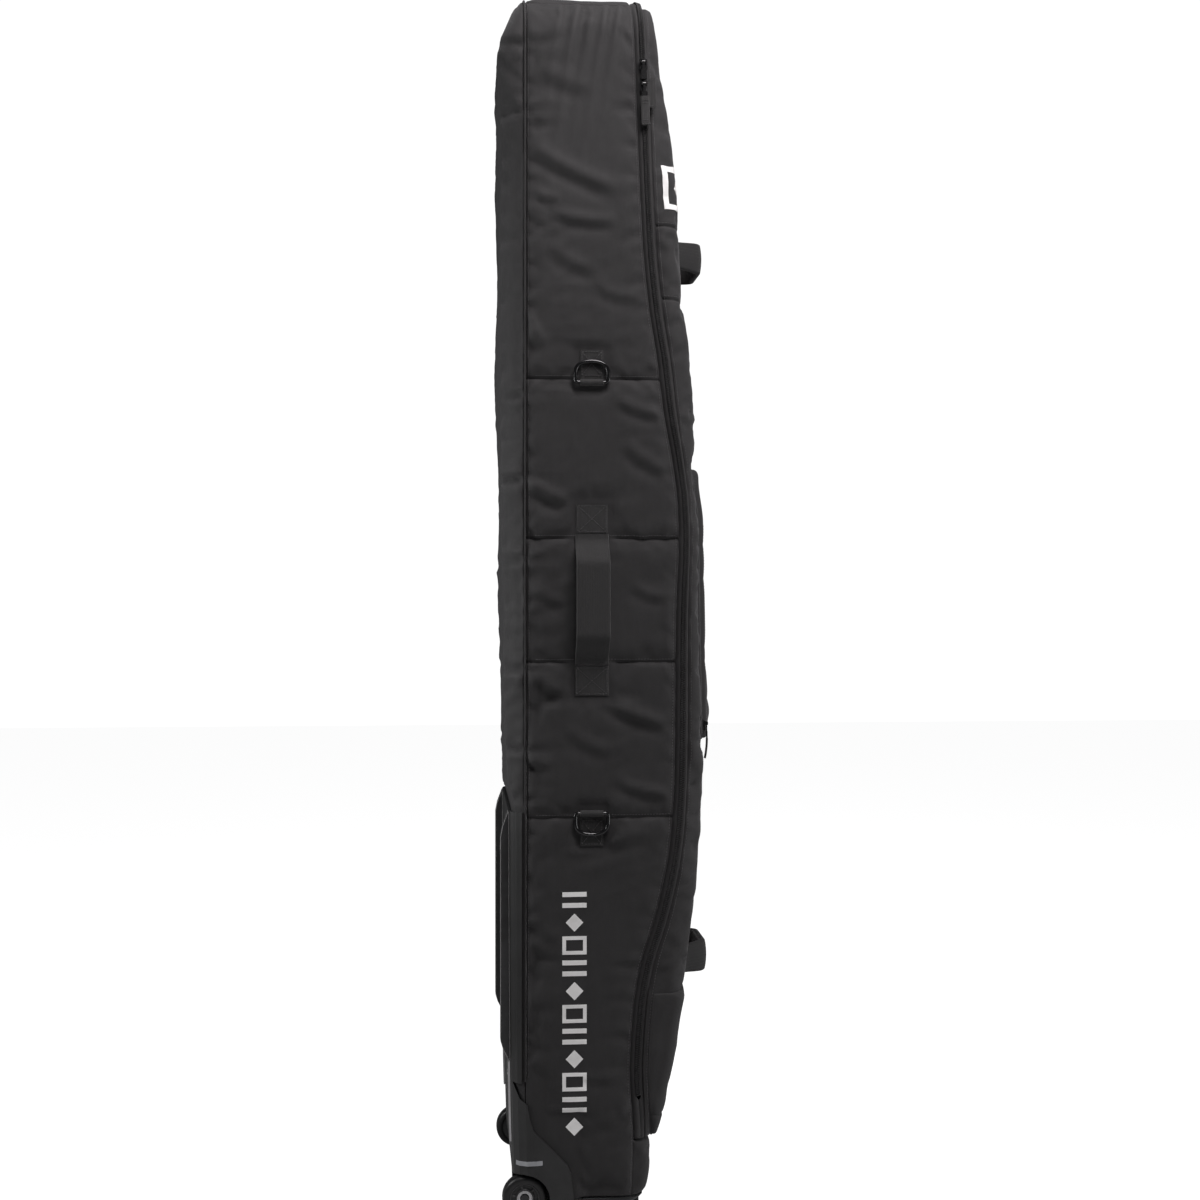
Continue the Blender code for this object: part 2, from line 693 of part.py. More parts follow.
def d_path(up):
    """Centre line of a D in (y, z) about the middle of its straight bar."""
    half = RING_WIDE / 2 - RING_WIRE
    tall = RING_TALL - 2 * RING_WIRE
    corner = 0.004
    points = [(-half + corner, 0.0), (0.0, 0.0), (half - corner, 0.0)]
    for k in (1, 2, 3):
        a = math.radians(-90 + 30 * k)
        points.append((half - corner + corner * math.cos(a), corner + corner * math.sin(a)))
    rise = 0.009
    for k in range(17):
        a = math.pi * k / 16
        y = half * math.cos(a)
        points.append((y, rise + (tall - rise) * math.sin(a) ** 0.75))
    for k in (1, 2):
        a = math.radians(180 + 30 * k)
        points.append((-half + corner + corner * math.cos(a), corner + corner * math.sin(a)))
    return [(y, up * z) for y, z in points]


def build_ring(name):
    bar_z, up = RINGS[name]
    path = d_path(up)
    rings = []
    for i, (y, z) in enumerate(path):
        y0, z0 = path[i - 1]
        y1, z1 = path[(i + 1) % len(path)]
        length = math.hypot(y1 - y0, z1 - z0)
        ny, nz = (z1 - z0) / length, -(y1 - y0) / length
        ring = []
        for k in range(8):
            a = 2 * math.pi * (k + 0.5) / 8
            out, side = RING_WIRE * math.cos(a), RING_WIRE * math.sin(a)
            ring.append((BAR_X + side, RING_Y + y + ny * out, bar_z + z + nz * out))
        rings.append(ring)
    skinned("d_ring_" + name, rings, "slider", closed=True)
    reach = RING_WIRE + GAP
    shift = BAR_X
    outside = reach + TAB_THICK
    outline = [(shift + reach, up * 0.047), (shift + outside, up * 0.047)]
    for k in range(9):
        a = math.radians(-250 * k / 8)
        outline.append((shift + outside * math.cos(a), up * outside * math.sin(a)))
    for k in range(8, -1, -1):
        a = math.radians(-250 * k / 8)
        outline.append((shift + reach * math.cos(a), up * reach * math.sin(a)))
    half = 0.0165
    prism_y("d_ring_tab_" + name, [(x, bar_z + z) for x, z in outline], RING_Y - half,
            RING_Y + half, "webbing")


def build_loop(name, z_mid, front, thick):
    """A webbing grab loop lying across the lid, its broad face forward."""
    base = face_y(z_mid) + 0.020
    path = [(MID_X + along, off) for off, along in
            arch(-0.070, 0.070, base, front, 0.050, 0.0)][::-1]
    loop = prism_z("front_loop_" + name, band_outline(path, thick), z_mid - 0.025,
                   z_mid + 0.025, "webbing")
    return cut(loop, form(GAP))


# ---- Pockets -----------------------------------------------------------------------------------
POCKET = (MID_X - 0.128, MID_X + 0.128, 0.6795, 1.0790)
POCKET_UP = 0.0120
POCKET_MARGIN = 0.024   # room beside the raised pocket for its zip
POCKET_TAPE = 0.0033    # thickness of that zip, tape and coil together
LOWER_UP = 0.0080


def raised(name, up, wall, region, inner_region, finish="fabric"):
    """A pocket standing `up` off the lid, hollow and open towards the lid."""
    shell = cut_named(form(up), name, finish, form(GAP))
    keep(shell, region)
    hollow = form(up - wall)
    keep(hollow, inner_region)
    return cut(shell, hollow)


def build_middle_pocket():
    x0, x1, z0, z1 = POCKET
    wall = 0.0025
    outer = prism_y("outer", pocket_outline(0.0), -0.4, -0.05)
    inner = prism_y("inner", pocket_outline(wall), -0.4, -0.05)
    keep(outer, box_region(x0=x0 + POCKET_MARGIN))
    keep(inner, box_region(x0=x0 + POCKET_MARGIN + wall))
    raised("middle_pocket", POCKET_UP, wall, outer, inner)
    strip = cut_named(form(GAP + POCKET_TAPE), "pocket_zip", "zip", form(GAP))
    keep(strip, box_region(x0=x0 + 0.004, x1=x0 + POCKET_MARGIN - GAP, y1=-0.05, z0=z0 + 0.004,
                           z1=0.990))


def pocket_outline(inset):
    """Front view of the middle pocket: square foot, generously rounded top."""
    x0, x1, z0, z1 = POCKET
    small, large = 0.012, 0.050
    points = []
    for cx, cz, radius, start in ((x1 - large, z1 - large, large, 0),
                                  (x0 + large, z1 - large, large, 90),
                                  (x0 + small, z0 + small, small, 180),
                                  (x1 - small, z0 + small, small, 270)):
        for k in range(6):
            a = math.radians(start + 90 * k / 5)
            reach = radius - inset
            points.append((cx + reach * math.cos(a), cz + reach * math.sin(a)))
    return points


def build_lower_pocket():
    wall = 0.0018
    z0, z1 = HINGE_Z + 0.0030, 0.3200
    outer = side_region("outer", lambda z: -0.3, lambda z: zip_y(z) - ZIP_WIDTH - 0.002, z0, z1)
    inner = block("inner", (MID_X - 0.135, -0.4, z0 + 0.006), (MID_X + 0.135, -0.03, z1 - 0.006))
    keep(outer, box_region(x0=LEFT_X + 0.0015, x1=RIGHT_X - 0.0015))
    raised("lower_pocket", LOWER_UP, wall, outer, inner)


# ---- Zip sliders -------------------------------------------------------------------------------
def zip_lean():
    """Unit direction of the straight stretch of the main zip."""
    z0, z1 = STRAIGHT_ZIP
    return Vector((0.0, zip_y(z1) - zip_y(z0), z1 - z0)).normalized()


def build_main_slider(name, tab):
    """Slider, pull and, on the lower one, a cloth tab; made upright, then leant and placed."""
    z = SLIDER_Z[name]
    place = Vector((LEFT_X - 0.0012 - 2 * GAP, zip_y(z) - ZIP_WIDTH / 2, z))
    lean = zip_lean()
    turn = Matrix.Rotation(-math.atan2(lean.y, lean.z), 4, "X")
    made = slider_parts("slider_" + name, "pull_" + name)
    if tab:
        made.append(pull_tab("pull_tab_" + name))
    for obj in made:
        obj.data.transform(Matrix.Translation(place) @ turn)


def slider_parts(slider_name, pull_name):
    """A slider lying on the plane x=0, sticking out to -X, with its pull hanging down."""
    body = [(0.0, -0.0075), (-0.0026, -0.0070), (-0.0026, 0.0070), (0.0, 0.0075)]
    slider = prism_y(slider_name, body, -0.0055, 0.0055, "slider")
    for y0 in (-0.0040, 0.0024):
        join(slider, block("lug", (-0.0068, y0, 0.0005), (-0.0010, y0 + 0.0016, 0.0055), "slider"))
    join(slider, spun_y("pin", -0.0052, 0.0030, -0.0030, 0.0030, 0.0009, "slider", 12))
    eye = spun_y(pull_name, -0.0052, 0.0030, -0.0020, 0.0020, 0.0021, "slider", 16)
    join(eye, block("neck", (-0.0059, -0.0020, -0.0100), (-0.0045, 0.0020, 0.0020), "slider"))
    join(eye, block("plate", (-0.0059, -0.0040, -0.0215), (-0.0045, 0.0040, -0.0085), "slider"))
    cut(eye, spun_y("hole", -0.0052, 0.0030, -0.01, 0.01, 0.0009 + GAP, steps=12))
    return [slider, eye]


def pull_tab(name):
    """A folded cloth tab gripping the lower half of the pull's plate."""
    tab = block(name, (-0.0071, -0.0055, -0.0560), (-0.0033, 0.0055, -0.0150), "webbing")
    slot = block("slot", (-0.0059 - GAP, -0.0040 - GAP, -0.0215 - GAP),
                 (-0.0045 + GAP, 0.0040 + GAP, 0.0), "webbing")
    return cut(tab, slot)


def build_pocket_slider():
    z = 0.7000
    x = POCKET[0] + 0.013
    part = (x - MID_X) / (WIDTH / 2 - FRONT_RADIUS)
    flat = front_y(z) - crown(z) * (1 - part**2)
    place = Vector((x, flat - POCKET_TAPE - 3 * GAP, z))
    rise = front_y(0.900) - front_y(0.700)
    turn = Matrix.Rotation(math.pi / 2, 4, "Z")
    lean = Matrix.Rotation(-math.atan2(rise, 0.2), 4, "X")
    slider, pull = slider_parts("pocket_slider", "pocket_pull")
    for obj in (slider, pull):
        obj.data.transform(Matrix.Translation(place) @ lean @ turn)
    cut(slider, form(POCKET_TAPE + 2 * GAP + 0.0002))


# ---- Assembly ----------------------------------------------------------------------------------
def tidy_meshes():
    """Drop the slivers that cuts leave behind and set the shading."""
    for obj in bpy.data.objects:
        bm = bmesh.new()
        bm.from_mesh(obj.data)
        bmesh.ops.remove_doubles(bm, verts=bm.verts, dist=0.00002)
        bmesh.ops.dissolve_degenerate(bm, edges=bm.edges, dist=0.00001)
        bmesh.ops.recalc_face_normals(bm, faces=bm.faces)
        bm.to_mesh(obj.data)
        bm.free()
        smooth(obj)


def main():
    clear_scene()
    build_back_panel()
    build_top_end()
    build_bottom_end()
    build_apron()
    build_piping()
    build_lid_hinge()
    build_lid()
    build_zip()
    build_linings()
    build_back_board()
    build_tie_strap("tie_strap_lower", 0.440)
    build_tie_strap("tie_strap_upper", 1.250)
    build_tray()
    for side in SIDES:
        build_side_panel(side)
        build_housing(side)
        build_rail(side)
        build_guard(side)
        build_wheel(side)
        build_foot(side)
    build_side_handle()
    for name in RINGS:
        build_ring(name)
    build_loop("upper", 1.405, FRONT_Y + 0.007, 0.006)
    build_loop("lower", 0.346, FRONT_Y, 0.008)
    build_middle_pocket()
    build_lower_pocket()
    build_main_slider("upper", False)
    build_main_slider("lower", True)
    build_pocket_slider()
    tidy_meshes()


main()
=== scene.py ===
"""Looks for a wheeled, padded snowboard bag that stands upright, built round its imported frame."""

import math

import bmesh
import bpy
import numpy as np
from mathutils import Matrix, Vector, noise
from mathutils.bvhtree import BVHTree


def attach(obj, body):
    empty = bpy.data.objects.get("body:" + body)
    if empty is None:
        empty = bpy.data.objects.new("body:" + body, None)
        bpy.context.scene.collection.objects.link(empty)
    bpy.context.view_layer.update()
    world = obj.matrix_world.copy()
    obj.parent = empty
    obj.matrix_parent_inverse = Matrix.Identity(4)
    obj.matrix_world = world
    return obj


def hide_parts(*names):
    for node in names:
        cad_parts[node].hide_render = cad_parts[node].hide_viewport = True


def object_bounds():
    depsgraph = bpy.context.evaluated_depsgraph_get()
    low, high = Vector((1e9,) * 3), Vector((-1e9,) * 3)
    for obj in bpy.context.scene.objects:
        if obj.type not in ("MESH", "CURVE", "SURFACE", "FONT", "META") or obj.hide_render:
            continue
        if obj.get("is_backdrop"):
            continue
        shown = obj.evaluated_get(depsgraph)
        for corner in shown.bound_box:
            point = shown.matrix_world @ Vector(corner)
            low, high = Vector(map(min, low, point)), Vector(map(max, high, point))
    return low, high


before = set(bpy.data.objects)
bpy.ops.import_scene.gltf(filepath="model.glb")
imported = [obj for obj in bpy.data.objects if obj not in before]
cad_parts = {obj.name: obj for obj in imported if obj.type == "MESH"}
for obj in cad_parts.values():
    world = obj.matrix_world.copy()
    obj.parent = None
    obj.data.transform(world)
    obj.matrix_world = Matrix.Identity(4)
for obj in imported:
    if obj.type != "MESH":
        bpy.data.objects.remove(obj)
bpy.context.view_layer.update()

# ---- The body's form, as in the solids ---------------------------------------------------------
GAP = 0.0003
HEIGHT = 1.760
WIDTH = 0.345
SEAM = 0.1238           # Y of the seam between side and back panel
MID_X = 0.0131
LEFT, RIGHT = MID_X - WIDTH / 2, MID_X + WIDTH / 2
BASE_Z, PAD = 0.014, 0.012
TOP_R, BASE_R, BACK_R, FRONT_R, LID_TOP_R = 0.070, 0.026, 0.030, 0.024, 0.026
SHOULDER = 1.7455
BEND_Z = 1.690          # above this the upright faces turn over towards the top
AXLE_Z = 0.032
MID_Y = 0.03            # Y at which the front and back halves of an outline meet
ROLL = 0.0055           # width of the border along which the cloth curls over
HINGE_Z, HINGE_Y = 0.113, SEAM - 0.1836
TAPE, TEETH, ZIP_WIDTH = 0.0095, 0.0028, 0.0255
ZIP_END = 0.175
ZIP_SEAM = [
    (0.014, 0.150), (0.110, 0.1530), (0.214, 0.1480), (0.250, 0.1495), (0.306, 0.1540),
    (0.355, 0.1620), (0.425, 0.1830), (0.472, 0.1950), (0.519, 0.2040), (0.575, 0.2100),
    (0.650, 0.2130), (0.860, 0.2150), (0.972, 0.2190), (1.026, 0.2170), (1.080, 0.2100),
    (1.154, 0.1970), (1.220, 0.1890), (1.310, 0.1750), (1.400, 0.1665), (1.700, 0.1538),
    (1.760, 0.1513),
]
LID_FACE = [
    (0.014, 0.1700), (0.045, 0.1755), (0.075, 0.1775), (0.110, 0.1815), (0.135, 0.1890),
    (0.165, 0.1960), (0.220, 0.2080), (0.292, 0.2200), (0.335, 0.2290), (0.421, 0.2390),
    (0.479, 0.2455), (0.551, 0.2510), (0.620, 0.2545), (0.660, 0.2560), (0.700, 0.2553),
    (0.900, 0.2518), (1.000, 0.2500), (1.060, 0.2430), (1.144, 0.2415), (1.245, 0.2335),
    (1.332, 0.2250), (1.462, 0.2170), (1.563, 0.2073), (1.678, 0.1905), (1.760, 0.1800),
]
BACK_FACE = [
    (0.014, 0.0115), (0.060, 0.0130), (0.200, 0.0165), (0.400, 0.0180), (0.600, 0.0190),
    (0.750, 0.0240), (1.050, 0.0270), (1.600, 0.0270),
]


def curve_value(points, z):
    """A smooth curve through (z, value) points that never overshoots them."""
    if z <= points[0][0]:
        return points[0][1]
    if z >= points[-1][0]:
        return points[-1][1]
    slopes = [(b[1] - a[1]) / (b[0] - a[0]) for a, b in zip(points, points[1:])]
    tangents = [slopes[0]]
    for s, t in zip(slopes, slopes[1:]):
        tangents.append(0.0 if s * t <= 0 else 2 * s * t / (s + t))
    tangents.append(slopes[-1])
    i = max(k for k, p in enumerate(points[:-1]) if p[0] <= z)
    (z0, v0), (z1, v1) = points[i], points[i + 1]
    h = z1 - z0
    t = (z - z0) / h
    return ((2 * t**3 - 3 * t**2 + 1) * v0 + (t**3 - 2 * t**2 + t) * h * tangents[i]
            + (3 * t**2 - 2 * t**3) * v1 + (t**3 - t**2) * h * tangents[i + 1])


def zip_y(z):
    """Y of the seam where the zip is sewn to the side panel."""
    return SEAM - curve_value(ZIP_SEAM, min(max(z, 0.0), HEIGHT))


def back_y(z):
    y = curve_value(BACK_FACE, z)
    if z > 1.6:
        rise = min(1.0, (z - 1.6) / (HEIGHT - 1.6))
        y *= math.sqrt(max(0.0, 1 - rise**2.2))
    return SEAM + y


def front_y(z):
    y = curve_value(LID_FACE, z)
    over = z - (HEIGHT - LID_TOP_R)
    if over > 0:
        y -= LID_TOP_R - math.sqrt(max(0.0, LID_TOP_R**2 - over**2))
    return SEAM - y


def smoothstep(a, b, v):
    t = np.clip((v - a) / (b - a), 0.0, 1.0)
    return t * t * (3 - 2 * t)


def crown(z):
    """How far the middle of the front bows out at a height."""
    low, high = smoothstep(0.13, 0.40, z), smoothstep(HEIGHT - 0.02, HEIGHT - 0.42, z)
    return 0.012 * float(low) * float(high)


def half_width(z, grow=0.0):
    """Half the width across the bag at a height, with its round shoulders and base edge."""
    half = WIDTH / 2 + grow
    top = z - (HEIGHT - TOP_R)
    if top > 0:
        r = TOP_R + grow
        half -= r - math.sqrt(max(0.0, r * r - top * top))
    low = (BASE_Z + BASE_R) - z
    if low > 0:
        r = BASE_R + grow
        half -= r - math.sqrt(max(0.0, r * r - low * low))
    return half


def low_inset(z, grow=0.0):
    low = (BASE_Z + BASE_R) - z
    if low <= 0:
        return 0.0
    r = BASE_R + grow
    return r - math.sqrt(max(0.0, r * r - low * low))


def clip_y(path, y_cut, ahead):
    """The part of an open path on one side of a line of constant Y, its ends on the line."""
    sign = 1.0 if ahead else -1.0
    d = sign * (path[:, 1] - y_cut)
    inside = np.nonzero(d < 0)[0]
    a, b = inside[0], inside[-1]
    out = [path[k] for k in range(a, b + 1)]
    if a > 0:
        t = d[a - 1] / (d[a - 1] - d[a])
        out.insert(0, path[a - 1] + t * (path[a] - path[a - 1]))
    if b < len(path) - 1:
        t = d[b] / (d[b] - d[b + 1])
        out.append(path[b] + t * (path[b + 1] - path[b]))
    return np.array(out)


def travelled(path):
    """How far along a path each of its points is."""
    return np.concatenate([[0.0], np.cumsum(np.linalg.norm(np.diff(path, axis=0), axis=1))])


def even(path, n):
    """n points at equal steps along a path."""
    path = np.asarray(path, dtype=float)
    at = travelled(path)
    want = np.linspace(0.0, at[-1], n)
    return np.stack([np.interp(want, at, column) for column in path.T], axis=1)


def at_fractions(path, fractions):
    """Points at the given shares of a path's length."""
    path = np.asarray(path, dtype=float)
    at = travelled(path)
    want = np.asarray(fractions) * at[-1]
    return np.stack([np.interp(want, at, column) for column in path.T], axis=1)


def wrap_path(z, y_cut, front, n, grow=0.0):
    """n points round the front or the back of the body at a height, from left to right."""
    half = half_width(z, grow)
    if front:
        radius, wall, sign = FRONT_R + grow, front_y(z) - grow + low_inset(z, grow), -1.0
    else:
        radius, wall, sign = BACK_R + grow, back_y(z) + grow - low_inset(z, grow), 1.0
    cy = wall - sign * radius
    pts = [(-half, cy - sign * 0.4)]
    for k in range(15):
        a = math.radians(90 * k / 14)
        pts.append((-half + radius - radius * math.cos(a), cy + sign * radius * math.sin(a)))
    flat = half - radius
    for k in range(1, 40):
        p = -1 + 2 * k / 40
        bulge = crown(z) * (1 - p * p) if front else 0.0
        pts.append((flat * p, wall + sign * bulge))
    for k in range(15):
        a = math.radians(90 - 90 * k / 14)
        pts.append((half - radius + radius * math.cos(a), cy + sign * radius * math.sin(a)))
    pts.append((half, cy - sign * 0.4))
    path = np.array(pts)
    path[:, 0] += MID_X
    return even(clip_y(path, y_cut, front), n)


# ---- Making meshes -----------------------------------------------------------------------------
def add_object(name, data):
    obj = bpy.data.objects.new(name, data)
    bpy.context.scene.collection.objects.link(obj)
    return obj


def mesh_of(bm, name):
    mesh = bpy.data.meshes.new(name)
    bm.to_mesh(mesh)
    bm.free()
    return mesh


def make(name, verts, faces, mat, body, replaces=(), smooth=True, angle=None, slot=None):
    mesh = bpy.data.meshes.new(name)
    mesh.from_pydata([tuple(map(float, v)) for v in verts], [], [tuple(f) for f in faces])
    mesh.validate()
    obj = add_object(name, mesh)
    bm = bmesh.new()
    bm.from_mesh(mesh)
    bmesh.ops.recalc_face_normals(bm, faces=bm.faces)
    bm.to_mesh(mesh)
    bm.free()
    mesh.materials.append(mat)
    if smooth:
        mesh.shade_smooth()
        if angle:
            mesh.set_sharp_from_angle(angle=math.radians(angle))
    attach(obj, body)
    if replaces:
        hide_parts(*([replaces] if isinstance(replaces, str) else replaces))
    return obj


def modifier(obj, kind, **settings):
    mod = obj.modifiers.new(kind.title(), kind)
    for key, value in settings.items():
        setattr(mod, key, value)
    return mod


def grid_faces(rows, cols, wrap=False):
    faces = []
    for i in range(rows - 1):
        for j in range(cols if wrap else cols - 1):
            k = (j + 1) % cols
            faces.append((i * cols + j, i * cols + k, (i + 1) * cols + k, (i + 1) * cols + j))
    return faces


def normals_of(grid, toward=None):
    """Unit normals of a grid of points, all on one side."""
    du = np.gradient(grid, axis=0)
    dv = np.gradient(grid, axis=1)
    n = np.cross(du, dv)
    n /= np.linalg.norm(n, axis=2, keepdims=True) + 1e-12
    if toward is not None and np.sum(n * (grid - np.array(toward))) < 0:
        n = -n
    return n


CENTRE = (MID_X, 0.02, 0.9)


def shell_mesh(outer, inner):
    """Verts and faces of the closed solid between two grids of the same size."""
    rows, cols, _ = outer.shape
    verts = np.concatenate([outer.reshape(-1, 3), inner.reshape(-1, 3)])
    faces = grid_faces(rows, cols)
    back = rows * cols
    faces += [tuple(reversed([v + back for v in f])) for f in grid_faces(rows, cols)]
    edge = list(range(cols))
    edge += [i * cols + cols - 1 for i in range(1, rows)]
    edge += [(rows - 1) * cols + j for j in range(cols - 2, -1, -1)]
    edge += [i * cols for i in range(rows - 2, 0, -1)]
    for a, b in zip(edge, edge[1:] + edge[:1]):
        faces.append((b, a, a + back, b + back))
    return verts, faces


def lofted(rings):
    """Verts and faces of the closed solid through a row of outlines."""
    m = len(rings[0])
    verts = np.concatenate(rings)
    faces = grid_faces(len(rings), m, wrap=True)
    faces += [tuple(range(m)), tuple((len(rings) - 1) * m + k for k in range(m))]
    return verts, faces


def tube(name, path, radius, mat, body, sides=12, **kw):
    """A round cord along a path."""
    path = np.asarray(path, dtype=float)
    rings = []
    for i, point in enumerate(path):
        t = path[min(i + 1, len(path) - 1)] - path[max(i - 1, 0)]
        t = t / np.linalg.norm(t)
        side = np.cross(t, (0.0, 1.0, 0.0))
        side /= np.linalg.norm(side)
        other = np.cross(t, side)
        rings.append(np.array([point + radius * math.cos(a) * side + radius * math.sin(a) * other
                               for a in (2 * math.pi * k / sides for k in range(sides))]))
    verts, faces = lofted(rings)
    return make(name, verts, faces, mat, body, **kw)


def lathe(name, profile, centre, mat, body, steps=96, **kw):
    """A profile of (x, radius) pairs turned about a line along X."""
    verts = []
    for k in range(steps):
        a = 2 * math.pi * k / steps
        verts += [(x, centre[1] + r * math.cos(a), centre[2] + r * math.sin(a)) for x, r in profile]
    m = len(profile)
    faces = []
    for k in range(steps):
        j = (k + 1) % steps
        for i in range(m):
            faces.append((k * m + i, k * m + (i + 1) % m, j * m + (i + 1) % m, j * m + i))
    return make(name, verts, faces, mat, body, **kw)


def capsules(name, rods, radius, mat, body, sides=5, lift=0.0, **kw):
    """Many short round rods in one piece, each given as (start, end, outward normal)."""
    one = grid_faces(4, sides, wrap=True)
    one += [tuple(range(sides)), tuple(3 * sides + k for k in reversed(range(sides)))]
    verts, faces = [], []
    for a, b, nrm in rods:
        a, b, nrm = np.asarray(a), np.asarray(b), np.asarray(nrm)
        t = b - a
        length = np.linalg.norm(t)
        t = t / length
        s = np.cross(t, nrm)
        s /= np.linalg.norm(s) + 1e-12
        base = len(verts)
        for f, r in ((0.0, 0.45), (0.18, 1.0), (0.82, 1.0), (1.0, 0.45)):
            c = a + t * length * f + nrm * (lift - (radius * 0.6 if r < 1 else 0.0))
            for k in range(sides):
                ang = 2 * math.pi * k / sides
                verts.append(c + radius * r * (math.cos(ang) * s + math.sin(ang) * nrm))
        faces += [tuple(base + v for v in f) for f in one]
    return make(name, verts, faces, mat, body, **kw)


def stitch_rods(path, normals, pitch=0.0042, length=0.0030):
    """Stitches along a path: one (start, end, normal) for each."""
    path, normals = np.asarray(path, dtype=float), np.asarray(normals, dtype=float)
    at = travelled(path)
    rods = []
    for k in range(int(at[-1] / pitch)):
        s0 = (k + 0.12) * pitch
        p = [np.array([np.interp(s, at, path[:, i]) for i in range(3)]) for s in (s0, s0 + length)]
        nrm = np.array([np.interp(s0, at, normals[:, i]) for i in range(3)])
        rods.append((p[0], p[1], nrm / np.linalg.norm(nrm)))
    return rods


def body_half(y, z, grow=0.0):
    """Half the body's width at a place in the side view, with its corner arcs."""
    half = half_width(z, grow)
    rf, rb = FRONT_R + grow, BACK_R + grow
    cf = front_y(z) - grow + low_inset(z, grow) + rf
    cb = back_y(z) + grow - low_inset(z, grow) - rb
    if y < cf:
        half -= rf - math.sqrt(max(0.0, rf * rf - (cf - y) ** 2))
    if y > cb:
        half -= rb - math.sqrt(max(0.0, rb * rb - (y - cb) ** 2))
    return half


def spaced(a, b, step, fine=(), near=(0.0, 0.0012, 0.0026, 0.0046)):
    """Values from a to b no further apart than step, closer together near the fine ones."""
    marks = sorted([a, b] + [f for f in fine if a < f < b])
    values = {round(a, 6), round(b, 6)}
    for lo, hi in zip(marks, marks[1:]):
        inner_lo, inner_hi = lo + near[-1], hi - near[-1]
        if inner_hi <= inner_lo:
            values |= {round(v, 6) for v in np.linspace(lo, hi, 5)}
            continue
        values |= {round(lo + n, 6) for n in near} | {round(hi - n, 6) for n in near}
        count = max(2, int(math.ceil((inner_hi - inner_lo) / step)) + 1)
        values |= {round(v, 6) for v in np.linspace(inner_lo, inner_hi, count)}
    return np.array(sorted(values))


def cubic_resample(grid, at, axis):
    """Values of a grid at fractional places along one axis, by smooth interpolation."""
    grid = np.moveaxis(grid, axis, 0)
    n = grid.shape[0]
    pos = np.clip(at, 0, 1) * (n - 1)
    i = np.clip(np.floor(pos).astype(int), 0, n - 2)
    t = (pos - i).reshape(-1, *([1] * (grid.ndim - 1)))
    p0, p1 = grid[np.clip(i - 1, 0, n - 1)], grid[i]
    p2, p3 = grid[i + 1], grid[np.clip(i + 2, 0, n - 1)]
    out = 0.5 * (2 * p1 + (p2 - p0) * t + (2 * p0 - 5 * p1 + 4 * p2 - p3) * t**2
                 + (3 * p1 - p0 - 3 * p2 + p3) * t**3)
    return np.moveaxis(out, 0, axis)


def noise_field(points, scale, seed, octaves=3):
    """Smooth noise from -1 to 1 at each of an array of points."""
    flat = points.reshape(-1, 3)
    shift = Vector((seed * 3.7, seed * -1.9, seed * 5.3))
    out = np.empty(len(flat))
    for k, p in enumerate(flat):
        out[k] = noise.fractal(Vector(p) / scale + shift, 1.0, 2.0, octaves)
    return out.reshape(points.shape[:-1])


def creases(points, seed):
    """Shallow wrinkles that run slantwise down a panel."""
    lean = math.radians(24)
    along = points[..., 1] * math.cos(lean) - points[..., 2] * math.sin(lean) + points[..., 0]
    across = points[..., 1] * math.sin(lean) + points[..., 2] * math.cos(lean)
    field = noise_field(np.stack([along * 0.30, across, across * 0.0], axis=-1), 0.026, seed, 2)
    where = smoothstep(-0.15, 0.45, noise_field(points, 0.16, seed + 3, 2))
    return 0.0016 * where * (1 - 2.2 * np.abs(field))


